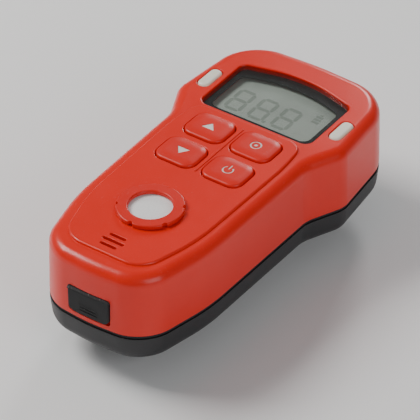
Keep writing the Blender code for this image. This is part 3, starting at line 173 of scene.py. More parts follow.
class DisplaySizes(bpy.types.PropertyGroup):
    half_width: size("Half width", "Half the window's width", 21.0 * MM)
    height: size("Height", "From the window's lower edge to its crown", 30.5 * MM)
    from_top: size("From top", "From the top end to the window's crown", 10.5 * MM)
    arch: size("Arch", "How far the crown stands above the upper corners", 5.5 * MM)
    corner: size("Corner", "Radius of the window's corners", 3.0 * MM)
    ledge: size("Ledge", "Width of the ledge that carries the window", 1.5 * MM)
    border_side: size("Border at the sides", "Width of the black border", 2.2 * MM)
    border_top: size("Border at the top", "Height of the black border under the crown", 3.6 * MM)
    digit_width: size("Digit width", "Width of a digit", 6.6 * MM)
    digit_height: size("Digit height", "Height of a digit", 12.0 * MM)
    stroke: size("Stroke", "Width of a digit's strokes", 1.25 * MM)


class KeySizes(bpy.types.PropertyGroup):
    flange: size("Flange", "Width of the flange under the face", 1.0 * MM)
    corner: size("Corner", "Radius of a key's corners", 3.6 * MM)
    edge: size("Edge", "Radius of a key's upper edge", 0.8 * MM)
    crown: size("Crown", "How far a key's middle stands above its rim", 0.3 * MM)
    mark_depth: size("Mark depth", "Depth of the sunk marks", 0.30 * MM)
    mark_reach: size("Mark reach", "Half the size of a mark", 2.5 * MM)
    ink: size("Ink", "Thickness of the ink that fills a mark", 0.12 * MM)
    lens_flange: size("Lens flange", "Width of an alarm lens's flange", 0.7 * MM)
    lens_edge: size("Lens edge", "Radius of an alarm lens's upper edge", 1.1 * MM)


class SensorSizes(bpy.types.PropertyGroup):
    opening: size("Opening", "Radius of the opening in the sensor cap", 7.0 * MM)
    lip: size("Lip", "How far the cap laps over the face", 1.5 * MM)
    skirt: size("Skirt", "Wall of the cap's skirt", 0.8 * MM)
    clearance: size("Clearance", "Gap between the skirt and its hole", 0.3 * MM)
    cap_height: size("Cap height", "Height of the cap's rim", 1.3 * MM)
    notch: size("Notch", "Radius of the grip notches", 0.9 * MM)
    lug_height: size("Lug height", "Thickness of the bayonet lugs", 1.4 * MM)
    lug_reach: size("Lug reach", "How far the lugs reach under the face", 0.9 * MM)


class ClipSizes(bpy.types.PropertyGroup):
    plate: size("Plate", "Thickness of the clip's steel", 1.0 * MM)
    pin_y: size("Pin position", "Where the hinge pin lies along the body", 14.0 * MM)
    pin_radius: size("Pin radius", "Radius of the hinge pin", 1.25 * MM)
    pin_head: size("Pin head radius", "Radius of the pin's heads", 2.2 * MM)
    ear: size("Ear radius", "Radius of the ears round the pin", 3.0 * MM)
    wire: size("Wire radius", "Radius of the spring's wire", 0.5 * MM)
    coil: size("Coil radius", "Radius of the spring's coil", 2.1 * MM)


class Colours(bpy.types.PropertyGroup):
    casing: colour("Casing", "Front shell", (0.80, 0.016, 0.004))
    keys: colour("Keys", "Key caps and sensor cap", (0.74, 0.013, 0.004))
    rear: colour("Rear shell", "Rear shell", (0.020, 0.020, 0.022))
    rubber: colour("Rubber", "Seal and cover", (0.014, 0.014, 0.015))
    border: colour("Border", "Border round the display", (0.006, 0.006, 0.007))
    display: colour("Display", "Reflective display ground", (0.600, 0.700, 0.610))
    segments: colour("Segments", "Unlit display segments", (0.410, 0.490, 0.420))
    lens: colour("Alarm lens", "Frosted alarm lenses", (0.88, 0.83, 0.70))
    membrane: colour("Membrane", "Sensor filter", (0.90, 0.91, 0.90))
    steel: colour("Steel", "Nickel-plated steel", (0.60, 0.59, 0.57))
    floor: colour("Floor", "Studio floor", (0.92, 0.92, 0.92))


class StageSizes(bpy.types.PropertyGroup):
    azimuth: bpy.props.FloatProperty(
        name="Azimuth", description="Camera's turn about the device", default=math.radians(35.0),
        subtype="ANGLE",
    )
    elevation: bpy.props.FloatProperty(
        name="Elevation", description="Camera's height above the horizon", default=math.radians(38.0),
        subtype="ANGLE",
    )
    distance: size("Distance", "From the camera to the device", 0.95)
    lens: bpy.props.FloatProperty(
        name="Focal length", description="Camera's focal length in millimetres", default=255.0,
        min=20.0,
    )
    floor: size("Floor", "Side of the floor", 6.0)


GROUPS = {
    "casing": CasingSizes, "display": DisplaySizes, "keys": KeySizes, "sensor": SensorSizes,
    "clip": ClipSizes, "colours": Colours, "stage": StageSizes,
}


class DetectorSettings(bpy.types.PropertyGroup):
    casing: bpy.props.PointerProperty(type=CasingSizes)
    display: bpy.props.PointerProperty(type=DisplaySizes)
    keys: bpy.props.PointerProperty(type=KeySizes)
    sensor: bpy.props.PointerProperty(type=SensorSizes)
    clip: bpy.props.PointerProperty(type=ClipSizes)
    colours: bpy.props.PointerProperty(type=Colours)
    stage: bpy.props.PointerProperty(type=StageSizes)


def settings():
    return bpy.context.scene.gas_detector


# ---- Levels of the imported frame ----

PANEL_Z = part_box("front_shell")[1].z
FRONT_EDGE_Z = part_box("front_shell")[0].z
BACK_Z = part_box("rear_shell")[0].z
KEY_NAMES = ("up", "enter", "down", "power")


def middle(node):
    low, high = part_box(node)
    return (low + high) / 2


def span(node):
    low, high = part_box(node)
    return high - low


def face_z():
    return PANEL_Z - settings().casing.panel_rise


REAR_EDGE_Z = 2 * middle("shell_seal").z - FRONT_EDGE_Z


def spots(*names):
    """Where the named nodes lie, seen from the front."""
    return [(middle(name).x, middle(name).y) for name in names]


# ---- Solids ----

def moved_corner(before, here, after, radius, inward):
    """A clockwise polygon's corner and radius once its sides have moved inwards."""
    way_in, way_out = (here - before).normalized(), (after - here).normalized()
    turn = way_in.angle_signed(way_out)
    normals = Vector((way_in.y, -way_in.x)) + Vector((way_out.y, -way_out.x))
    moved = here + normals * inward / (1 + way_in.dot(way_out))
    bend = radius - inward if turn > 0 else radius + inward
    return moved, max(bend, SHARP) * math.tan(abs(turn) / 2)


def corner_face(corners, inward=0.0, z=0.0, steps=8):
    """A face with rounded corners, from clockwise (x, y, radius) corners, its sides moved inwards."""
    points = [Vector(corner[:2]) for corner in corners]
    bm = bmesh.new()
    verts, slides = [], []
    for i, here in enumerate(points):
        after = points[(i + 1) % len(points)]
        place, slide = moved_corner(points[i - 1], here, after, corners[i][2], inward)
        verts.append(bm.verts.new((*place, z)))
        slides.append(slide if corners[i][2] else 0.0)
    bm.faces.new(verts)
    for vert, slide in zip(verts, slides):
        if slide:
            bmesh.ops.bevel(
                bm, geom=[vert], offset=slide, offset_type="OFFSET", segments=steps, profile=0.5,
                affect="VERTICES", material=-1,
            )
    return bm, bm.faces[:][0]


def round_face(radius, centre=(0.0, 0.0), z=0.0, count=64):
    bm = bmesh.new()
    bmesh.ops.create_circle(bm, cap_ends=True, segments=count, radius=radius)
    bmesh.ops.translate(bm, vec=(*centre, z), verts=bm.verts)
    return bm, bm.faces[:][0]


def rise(bm, face, steps):
    """Carries the face through (inward, up) steps and leaves a wall behind it."""
    for inward, up in steps:
        if inward:
            bmesh.ops.inset_region(
                bm, faces=[face], thickness=inward, use_boundary=True, use_even_offset=True
            )
        else:
            made = bmesh.ops.extrude_face_region(bm, geom=[face, *face.edges, *face.verts])
            face = next(item for item in made["geom"] if isinstance(item, bmesh.types.BMFace))
        bmesh.ops.translate(bm, vec=(0.0, 0.0, up), verts=face.verts)
    return bm


def quarter(radius, count, sign=1, flat_first=False):
    """Steps round a quarter circle, from upright to flat, or from flat to upright."""
    angles = [math.pi / 2 * i / count for i in range(count + 1)]
    steps = [
        (radius * (math.cos(a) - math.cos(b)), radius * (math.sin(b) - math.sin(a)))
        for a, b in zip(angles, angles[1:])
    ]
    if flat_first:
        steps = [(up, inward) for inward, up in steps]
    return [(inward, sign * up) for inward, up in steps]


def slab(corners, low, high, edge=0.0, inward=0.0, steps=8):
    """A plate with rounded corners, whose upper edge is rounded if edge isn't 0."""
    bm, face = corner_face(corners, inward, low, steps)
    return rise(bm, face, [(0.0, high - low - edge)] + (quarter(edge, 4) if edge else []))


def disc(radius, low, high, centre=(0.0, 0.0), count=64):
    bm, face = round_face(radius, centre, low, count)
    return rise(bm, face, [(0.0, high - low)])


def mouth(start, top, bottom, lip):
    """A cutter that narrows by lip below top, so that its hole gets a rounded edge."""
    bm, face = start(-lip, top + CUT)
    return rise(bm, face, [
        (0.0, -CUT), *quarter(lip, 4, -1, flat_first=True), (0.0, bottom - top + lip)
    ])


def box(low, high):
    bm = bmesh.new()
    bmesh.ops.create_cube(bm, size=1.0)
    low, high = Vector(low), Vector(high)
    bmesh.ops.scale(bm, vec=high - low, verts=bm.verts)
    bmesh.ops.translate(bm, vec=(high + low) / 2, verts=bm.verts)
    return bm


def rod(radius, start, end, count=32):
    start, end = Vector(start), Vector(end)
    bm = bmesh.new()
    bmesh.ops.create_cone(
        bm, cap_ends=True, segments=count, radius1=radius, radius2=radius, depth=(end - start).length
    )
    turn = Vector((0, 0, 1)).rotation_difference(end - start).to_matrix().to_4x4()
    bmesh.ops.transform(bm, matrix=Matrix.Translation((start + end) / 2) @ turn, verts=bm.verts)
    return bm


def turned(corners, centre=(0.0, 0.0), count=96, steps=4):
    """A ring or a disc turned about the Z axis through centre, from (radius, z, rounding) corners."""
    bm, face = corner_face(corners, steps=steps)
    bmesh.ops.delete(bm, geom=[face], context="FACES_ONLY")
    on_axis = [edge for edge in bm.edges if all(vert.co.x < WELD for vert in edge.verts)]
    bmesh.ops.delete(bm, geom=on_axis, context="EDGES")
    bmesh.ops.rotate(bm, cent=(0, 0, 0), matrix=Matrix.Rotation(math.pi / 2, 3, "X"), verts=bm.verts)
    bmesh.ops.spin(
        bm, geom=bm.verts[:] + bm.edges[:], cent=(0, 0, 0), axis=(0, 0, 1), angle=2 * math.pi,
        steps=count, use_merge=True,
    )
    bmesh.ops.remove_doubles(bm, verts=bm.verts, dist=WELD)
    bmesh.ops.dissolve_degenerate(bm, dist=WELD, edges=bm.edges)
    bmesh.ops.translate(bm, vec=(*centre, 0.0), verts=bm.verts)
    return bm


def placed(bm, matrix):
    bmesh.ops.transform(bm, matrix=matrix, verts=bm.verts)
    return bm


def together(solids):
    """Solids that don't touch, as one mesh."""
    whole = bmesh.new()
    for bm in solids:
        mesh = bpy.data.meshes.new("solid")
        bm.to_mesh(mesh)
        bm.free()
        whole.from_mesh(mesh)
        bpy.data.meshes.remove(mesh)
    return whole


def object_of(name, bm):
    bmesh.ops.recalc_face_normals(bm, faces=bm.faces)
    mesh = bpy.data.meshes.new(name)
    bm.to_mesh(mesh)
    bm.free()
    obj = bpy.data.objects.new(name, mesh)
    bpy.context.scene.collection.objects.link(obj)
    return obj


def shape(obj, *rounds):
    """Takes obj through rounds of (operation, solids), each round's solids clear of each other."""
    helpers = []
    for operation, solids in rounds:
        helper = object_of(f"{obj.name}_helper", together(solids))
        boolean = obj.modifiers.new(operation.lower(), "BOOLEAN")
        boolean.operation = operation
        boolean.solver = "EXACT"
        boolean.object = helper
        helpers.append(helper)
    graph = bpy.context.evaluated_depsgraph_get()
    mesh = bpy.data.meshes.new_from_object(obj.evaluated_get(graph))
    mesh.name = obj.name
    obj.modifiers.clear()
    obj.data = mesh
    for helper in helpers:
        bpy.data.objects.remove(helper)
    return obj


def finish_piece(obj, body, finish, nodes=(), edge=0.0, angle=35.0):
    """Gives a new piece its shading, edge rounding, material and body."""
    obj.data.materials.clear()
    obj.data.materials.append(material(finish))
    obj.data.shade_smooth()
    if edge:
        bevel = obj.modifiers.new("edges", "BEVEL")
        bevel.width = edge
        bevel.segments = 2
        bevel.profile = 0.5
        bevel.limit_method = "ANGLE"
        bevel.angle_limit = math.radians(angle)
        bevel.use_clamp_overlap = True
    else:
        obj.data.set_sharp_from_angle(angle=math.radians(angle))
    weighted = obj.modifiers.new("flat faces", "WEIGHTED_NORMAL")
    weighted.keep_sharp = True
    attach(obj, body)
    if nodes:
        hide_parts(*nodes)
    return obj


# ---- Outlines ----

def both_sides(right):
    """Clockwise corners of a symmetric shape, from those at x >= 0, top to bottom."""
    return right + [(-x, y, radius) for x, y, radius in reversed(right) if x > 0]


def rectangle(width, height, radius, centre=(0.0, 0.0)):
    x, y = centre
    w, h = width / 2, height / 2
    return [(x + i * w, y + j * h, radius) for i, j in ((1, 1), (1, -1), (-1, -1), (-1, 1))]


def body_corners():
    s = settings().casing
    top, end = s.body_length / 2, -s.body_length / 2
    return both_sides([
        (0.0, top, 80 * MM),
        (s.head_width / 2 - s.head_taper, top - s.crown_drop, 17 * MM),
        (s.head_width / 2, top - s.head_length, 8 * MM),
        (s.grip_width / 2, top - s.head_length - s.shoulder_length, 11 * MM),
        (s.grip_width / 2 - s.grip_taper, end + s.tail_length, 60 * MM),
        (s.grip_width / 2 - s.tail_taper, end + s.tail_drop, 14 * MM),
        (0.0, end, 60 * MM),
    ])


def window_top():
    return settings().casing.body_length / 2 - settings().display.from_top


def window_corners(side=0.0, top=0.0):
    d = settings().display
    half, crown = d.half_width - side, window_top() - top
    return both_sides([
        (0.0, crown, 40 * MM),
        (half, crown - d.arch, d.corner),
        (half, window_top() - d.height + side, d.corner),
    ])


def panel_corners():
    s = settings().casing
    top = window_top() - settings().display.height - s.panel_gap
    grip, end = s.grip_width / 2 - s.panel_inset, -s.body_length / 2
    return both_sides([
        (s.panel_half, top, 5 * MM),
        (grip, top - s.shoulder_length, 60 * MM),
        (grip - s.grip_taper, end + s.tail_length, 60 * MM),
        (grip - s.tail_taper, end + s.panel_end, 8.8 * MM),
    ])


def cap_corners(node, flange, corner):
    """The outline of a key or a lens above its flange."""
    width, height = span(node).x - 2 * flange, span(node).y - 2 * flange
    return rectangle(width, height, min(corner, width / 2 - 0.25 * MM), *spots(node))


def plate_corners(node, corner):
    return rectangle(span(node).x, span(node).y, corner, *spots(node))


def wall(inward, start, end, edge, count, foot=FOOT):
    """The body's outline drawn from the seam to end: upright, then drafted, then rounded."""
    sign = 1 if end > start else -1
    bm, face = corner_face(body_corners(), inward, start, 12)
    run = abs(end - start) - foot - edge
    return rise(bm, face, [
        (0.0, sign * foot), (settings().casing.draft, sign * run), *quarter(edge, count, sign)
    ])


def grown(corners, clearance=0.0):
    """Draws a mouth's outline from corners, with clearance all round."""
    return lambda inward, z: corner_face(corners, inward - clearance, z)


# ---- Nodes that the materials share ----

class Nodes:
    """Adds nodes to a tree. A value may be a number, a colour or another node's socket."""

    def __init__(self, tree):
        self.tree = tree

    def put(self, value, socket):
        if isinstance(value, bpy.types.NodeSocket):
            self.tree.links.new(value, socket)
        else:
            socket.default_value = value

    def add(self, kind, inputs=(), **attributes):
        made = self.tree.nodes.new(kind)
        for name, value in attributes.items():
            setattr(made, name, value)
        for name, value in dict(inputs).items():
            self.put(value, made.inputs[name])
        return made

    def place(self):
        found = self.tree.nodes.get("Texture Coordinate") or self.add("ShaderNodeTexCoord")
        return found.outputs["Object"]

    def stretched(self, scale, turn=0.0):
        return self.add("ShaderNodeMapping", {
            "Vector": self.place(), "Rotation": (0.0, 0.0, turn), "Scale": scale,
        }).outputs[0]

    def maths(self, operation, *values, clamp=False):
        return self.add("ShaderNodeMath", enumerate(values), operation=operation, use_clamp=clamp).outputs[0]

    def noise(self, scale, detail, roughness=0.5, distortion=0.0, place=None):
        return self.add("ShaderNodeTexNoise", {
            "Vector": self.place() if place is None else place, "Scale": scale, "Detail": detail,
            "Roughness": roughness, "Distortion": distortion,
        }).outputs["Fac"]

    def cells(self, scale, randomness=1.0):
        return self.add("ShaderNodeTexVoronoi", {
            "Vector": self.place(), "Scale": scale, "Randomness": randomness,
        }).outputs["Distance"]

    def ramp(self, value, low, high, bottom=0.0, top=1.0):
        return self.add("ShaderNodeMapRange", {
            "Value": value, "From Min": low, "From Max": high, "To Min": bottom, "To Max": top,
        }).outputs[0]

    def mix(self, share, first, second):
        """Colour first towards second by share."""
        made = self.add("ShaderNodeMix", data_type="RGBA")
        for slot, value in ((0, share), (6, first), (7, second)):
            self.put((*value, 1.0) if isinstance(value, tuple) else value, made.inputs[slot])
        return made.outputs[2]

    def shared(self, name, **values):
        """The outputs of a shared node group, which is made the first time that it is asked for."""
        group = bpy.data.node_groups.get(name) or new_group(name, *SHARED[name])
        return self.add("ShaderNodeGroup", values, node_tree=group).outputs


def new_group(name, inputs, outputs, fill):
    group = bpy.data.node_groups.new(name, "ShaderNodeTree")
    for label, default in inputs.items():
        socket = group.interface.new_socket(label, in_out="INPUT", socket_type="NodeSocketFloat")
        socket.default_value = default
    for label in outputs:
        group.interface.new_socket(label, in_out="OUTPUT", socket_type="NodeSocketFloat")
    given, out = group.nodes.new("NodeGroupInput"), group.nodes.new("NodeGroupOutput")
    for label, value in fill(Nodes(group), given.outputs).items():
        group.links.new(value, out.inputs[label])
    return group


def grain_nodes(nodes, given):
    """Fine moulding grain as a height, and a slow mottle."""
    return {
        "Height": nodes.noise(given["Grain"], 2.0, 0.55),
        "Mottle": nodes.noise(given["Mottle"], 4.0, 0.6),
    }


def wear_and_highlight_nodes(nodes, given):
    """A broken mask along outer edges, where a surface is painted paler: partly scuffing from handling,
    partly a painted highlight for light catching the edge.
    """
    bevelled = nodes.add("ShaderNodeBevel", {"Radius": given["Radius"]}, samples=4).outputs[0]
    flat = nodes.add("ShaderNodeNewGeometry").outputs["Normal"]
    same = nodes.add("ShaderNodeVectorMath", {0: bevelled, 1: flat}, operation="DOT_PRODUCT")
    edge = nodes.maths("SUBTRACT", 1.0, same.outputs["Value"])
    patchy = nodes.ramp(nodes.noise(260.0, 5.0, 0.7), 0.42, 0.68, 0.15)
    mask = nodes.maths("MULTIPLY", nodes.maths("MULTIPLY", edge, 7.0, clamp=True), patchy)
    return {"Mask": nodes.maths("MULTIPLY", mask, given["Amount"], clamp=True)}


def marks_nodes(nodes, given):
    """Finger smudges, hairline scratches, and dust on what faces up."""
    hairs = [
        nodes.ramp(nodes.noise(1.0, 1.0, place=nodes.stretched(stretch, turn)), 0.70, 0.78)
        for turn, stretch in ((0.5, (90.0, 5200.0, 400.0)), (-0.9, (5600.0, 120.0, 400.0)))
    ]
    normal = nodes.add("ShaderNodeNewGeometry").outputs["Normal"]
    facing = nodes.ramp(nodes.add("ShaderNodeSeparateXYZ", {0: normal}).outputs["Z"], 0.3, 1.0)
    specks = nodes.ramp(nodes.noise(1500.0, 3.0, 0.7), 0.60, 0.75)
    marks = {
        "Smudge": nodes.ramp(nodes.noise(95.0, 6.0, 0.62, 0.8), 0.46, 0.72),
        "Scratch": nodes.maths("MAXIMUM", *hairs),
        "Dust": nodes.maths("MULTIPLY", facing, specks),
    }
    return {label: nodes.maths("MULTIPLY", value, given[label]) for label, value in marks.items()}


SHARED = {
    "Moulded grain": ({"Grain": 3200.0, "Mottle": 60.0}, ("Height", "Mottle"), grain_nodes),
    "Edge wear": ({"Radius": 0.4 * MM, "Amount": 1.0}, ("Mask",), wear_and_highlight_nodes),
    "Handling marks": (
        {"Smudge": 1.0, "Scratch": 1.0, "Dust": 1.0}, ("Smudge", "Scratch", "Dust"), marks_nodes
    ),
}


# ---- Materials ----

class Finish(Nodes):
    """A material in the making, and its shader."""

    def __init__(self, name):
        self.made = bpy.data.materials.new(name)
        self.made.use_nodes = True
        super().__init__(self.made.node_tree)
        self.sockets = self.tree.nodes["Principled BSDF"].inputs

    def done(self, tint, rough, height, depth, **values):
        """Links the colour, roughness and relief, and sets the shader's plain values."""
        self.put(tint, self.sockets["Base Color"])
        self.put(rough, self.sockets["Roughness"])
        bump = self.add("ShaderNodeBump", {"Height": height, "Strength": 1.0, "Distance": depth})
        self.put(bump.outputs[0], self.sockets["Normal"])
        for label, value in values.items():
            self.sockets[label.replace("_", " ")].default_value = value
        return self.made


def shade(rgb, factor):
    return tuple(min(channel * factor, 1.0) for channel in rgb)


def surface(
    name, rgb, roughness, grain=3200.0, depth=0.010, mottle=60.0, spread=0.06, worn=None, wear=0.6,
    smudge=0.5, scratch=0.3, dust=0.14, uneven=0.10, **values
):
    """A solid finish: mottled colour, edges painted paler as scuffing and as a painted highlight, dust,
    uneven gloss and a fine relief.
    """
    f = Finish(name)
    relief = f.shared("Moulded grain", Grain=grain, Mottle=mottle)
    edges = f.shared("Edge wear", Radius=0.35 * MM, Amount=wear)
    marks = f.shared("Handling marks", Smudge=smudge, Scratch=scratch, Dust=dust)
    tint = f.mix(relief["Mottle"], shade(rgb, 1 - spread), shade(rgb, 1 + spread))
    # Paler edges: partly scuffing, partly a painted highlight; without a given edge colour, a lit copy of the
    # colour itself.
    tint = f.mix(edges["Mask"], tint, worn or shade(rgb, 1.5))
    tint = f.mix(marks["Dust"], tint, DUST)
    rough = f.maths("MULTIPLY_ADD", marks["Smudge"], 0.10, roughness)
    rough = f.maths("ADD", rough, f.maths("MULTIPLY", marks["Scratch"], 0.12), clamp=True)
    wavering = f.maths("MULTIPLY", f.maths("SUBTRACT", relief["Mottle"], 0.5), uneven)
    rough = f.maths("ADD", rough, wavering, clamp=True)
    height = f.maths("SUBTRACT", relief["Height"], f.maths("MULTIPLY", marks["Scratch"], 0.3))
    return f.done(tint, rough, height, depth * MM, **values)


def brushed(name, rgb, roughness, stretch=(60.0, 3000.0, 3000.0), wear=0.5):
    """Plated steel with a drawn grain, edges painted brighter as scuffing and as a painted highlight, and
    faint stains.
    """
    f = Finish(name)
    lines = f.noise(1.0, 3.0, place=f.stretched(stretch))
    edges = f.shared("Edge wear", Radius=0.3 * MM, Amount=wear)
    marks = f.shared("Handling marks", Smudge=1.0, Scratch=0.8, Dust=0.15)
    relief = f.shared("Moulded grain", Grain=900.0, Mottle=90.0)
    tint = f.mix(relief["Mottle"], shade(rgb, 0.86), shade(rgb, 1.08))
    # Brighter edges: partly scuffing, partly a painted highlight.
    tint = f.mix(edges["Mask"], tint, (0.80, 0.79, 0.77))
    rough = f.ramp(lines, 0.3, 0.7, roughness - 0.06, roughness + 0.08)
    rough = f.maths("ADD", rough, f.maths("MULTIPLY", marks["Smudge"], 0.14), clamp=True)
    height = f.maths("SUBTRACT", lines, marks["Scratch"])
    return f.done(tint, rough, height, 0.004 * MM, Metallic=1.0)


def clear_lens(name):
    """Clear hard-coated lens: nearly open where seen square on, glossier towards its rim."""
    f = Finish(name)
    marks = f.shared("Handling marks", Smudge=1.0, Scratch=0.6, Dust=0.5)
    facing = f.add("ShaderNodeLayerWeight", {"Blend": 0.35}).outputs["Fresnel"]
    veil = f.maths("MULTIPLY_ADD", facing, 0.32, 0.05)
    dusty = f.maths("MULTIPLY", marks["Dust"], 0.12)
    f.put(f.maths("ADD", veil, dusty, clamp=True), f.sockets["Alpha"])
    tint = f.mix(marks["Dust"], (0.035, 0.040, 0.038), (0.6, 0.6, 0.58))
    rough = f.maths("MULTIPLY_ADD", marks["Smudge"], 0.16, 0.05)
    height = f.maths("MULTIPLY", marks["Scratch"], -1.0)
    return f.done(
        tint, rough, height, 0.003 * MM, Coat_Weight=1.0, Coat_Roughness=0.03, Specular_IOR_Level=0.8
    )


def display_glass(name, rgb):
    """The reflective ground of the display: a mottled grey-green under a fine raster of cells painted
    lighter, a painted sparkle of glints.
    """
    f = Finish(name)
    relief = f.shared("Moulded grain", Grain=5200.0, Mottle=70.0)
    tint = f.mix(relief["Mottle"], shade(rgb, 0.80), shade(rgb, 1.22))
    # Cells painted lighter: a painted sparkle of glints on the reflective ground.
    tint = f.mix(f.maths("MULTIPLY", f.cells(2600.0), 0.22), tint, shade(rgb, 1.6))
    rough = f.maths("MULTIPLY_ADD", relief["Mottle"], 0.2, 0.28)
    return f.done(tint, rough, relief["Height"], 0.004 * MM)


def felted(name, rgb):
    """Porous white filter: a felted relief with faint fibres, and a painted shade darkening its pits."""
    f = Finish(name)
    relief = f.shared("Moulded grain", Grain=2300.0, Mottle=180.0)
    pore_depth_and_shade = f.cells(1700.0)
    fibres = f.add("ShaderNodeTexWave", {
        "Vector": f.place(), "Scale": 420.0, "Distortion": 9.0, "Detail": 3.0, "Detail Scale": 2.0,
    }).outputs["Fac"]
    # The pits, sunk in the relief by the same cells, are painted darker: painted shade.
    tint = f.mix(f.maths("MULTIPLY", pore_depth_and_shade, 0.5), tuple(rgb), shade(rgb, 0.80))
    tint = f.mix(f.maths("MULTIPLY", fibres, 0.15), tint, shade(rgb, 0.86))
    rough = f.maths("MULTIPLY_ADD", relief["Mottle"], 0.2, 0.62)
    height = f.maths("ADD", relief["Height"], f.maths("MULTIPLY", pore_depth_and_shade, -1.2))
    height = f.maths("ADD", height, f.maths("MULTIPLY", fibres, 0.4))
    return f.done(tint, rough, height, 0.03 * MM)


def tracked(name):
    """Solder mask over copper: tracks show as paler runs under the green, with bare pads."""
    f = Finish(name)
    relief = f.shared("Moulded grain", Grain=4000.0, Mottle=120.0)
    tracks = f.add("ShaderNodeTexBrick", {
        "Vector": f.place(), "Scale": 150.0, "Mortar Size": 0.06, "Mortar Smooth": 0.1,
        "Brick Width": 0.9, "Row Height": 0.22,
    }).outputs["Fac"]
    pads = f.ramp(f.cells(330.0, 0.4), 0.14, 0.10)
    tint = f.mix(relief["Mottle"], (0.010, 0.105, 0.036), (0.018, 0.155, 0.055))
    tint = f.mix(f.maths("MULTIPLY", tracks, 0.55), tint, (0.05, 0.26, 0.10))
    tint = f.mix(pads, tint, (0.70, 0.62, 0.40))
    rough = f.maths("MULTIPLY_ADD", relief["Mottle"], 0.15, 0.28)
    return f.done(tint, rough, f.maths("ADD", tracks, pads), 0.03 * MM)


def recipes():
    """Each finish by name: its maker, the maker's values, and the further values by name."""
    c = settings().colours
    return {
        # Each paler edge colour below is partly a painted highlight along the edges.
        "red casing": (surface, c.casing, 0.30, dict(
            grain=2600.0, depth=0.006, worn=(0.86, 0.09, 0.04), wear=0.4,
            Coat_Weight=0.12, Coat_Roughness=0.14, Specular_IOR_Level=0.38,
        )),
        "red key": (surface, c.keys, 0.36, dict(
            grain=3400.0, depth=0.009, worn=(0.82, 0.09, 0.05), wear=0.5, smudge=0.9,
            Coat_Weight=0.1, Coat_Roughness=0.22, Specular_IOR_Level=0.38,
        )),
        "black casing": (surface, c.rear, 0.46, dict(
            grain=1900.0, depth=0.030, spread=0.15, worn=(0.07, 0.07, 0.072), wear=0.8,
            scratch=0.5, dust=0.35,
        )),
        "black rubber": (surface, c.rubber, 0.72, dict(
            grain=2600.0, depth=0.022, spread=0.2, worn=(0.045, 0.045, 0.045), dust=0.6, uneven=0.08,
        )),
        "printed border": (surface, c.border, 0.30, dict(
            grain=4200.0, depth=0.002, spread=0.2, wear=0.1, dust=0.2,
        )),
        "pale ink": (surface, (0.78, 0.76, 0.72), 0.5, dict(
            grain=3000.0, depth=0.006, worn=(0.7, 0.35, 0.3), wear=0.2, scratch=0.6, dust=0.1,
        )),
        "white plastic": (surface, (0.76, 0.76, 0.73), 0.42, dict(
            depth=0.008, worn=(0.85, 0.85, 0.83), wear=0.3,
        )),
        "chip black": (surface, (0.022, 0.022, 0.023), 0.55, dict(
            grain=2800.0, depth=0.02, worn=(0.06, 0.06, 0.06),
        )),
        "silicone": (surface, (0.42, 0.42, 0.43), 0.62, dict(
            grain=2200.0, depth=0.012, Subsurface_Weight=0.15,
            Subsurface_Radius=(0.002, 0.002, 0.002), Subsurface_Scale=0.5,
        )),
        "cell sleeve": (surface, (0.08, 0.14, 0.40), 0.30, dict(
            grain=500.0, depth=0.05, mottle=110.0, spread=0.10, worn=(0.20, 0.28, 0.55),
        )),
        "frosted lens": (surface, c.lens, 0.34, dict(
            grain=2600.0, depth=0.006, spread=0.05, worn=(1.0, 0.98, 0.92), wear=0.3, dust=0.1,
            Subsurface_Weight=0.45, Subsurface_Radius=(0.004, 0.003, 0.002), Subsurface_Scale=0.6,
            Coat_Weight=0.25, Coat_Roughness=0.2,
        )),
        "studio floor": (surface, c.floor, 0.6, dict(
            grain=300.0, depth=0.02, mottle=1.5, spread=0.02, wear=0.0, smudge=0.0, scratch=0.0, dust=0.0,
        )),
        "sintered mesh": (surface, (0.50, 0.49, 0.47), 0.45, dict(grain=1500.0, depth=0.08, Metallic=1.0)),
        "red insulation": (surface, (0.58, 0.018, 0.015), 0.45, {}),
        "black insulation": (surface, (0.02, 0.02, 0.02), 0.45, {}),
        "plated steel": (brushed, c.steel, 0.26, {}),
        "spring steel": (brushed, (0.46, 0.45, 0.44), 0.30, (2500.0, 400.0, 400.0), {}),
        "screw steel": (brushed, (0.42, 0.42, 0.42), 0.32, (1800.0, 1800.0, 300.0), 0.9, {}),
        "display ground": (display_glass, c.display, {}),
        "display segments": (display_glass, c.segments, {}),
        "clear lens": (clear_lens, {}),
        "white membrane": (felted, c.membrane, {}),
        "circuit board": (tracked, {}),
    }


def material(name):
    """The named finish, made the first time that a piece asks for it."""
    if name not in bpy.data.materials:
        maker, *values, named = recipes()[name]
        maker(name, *values, **named)
    return bpy.data.materials[name]


# ---- Operators ----

class DetectorOperator:
    bl_options = {"REGISTER", "UNDO"}


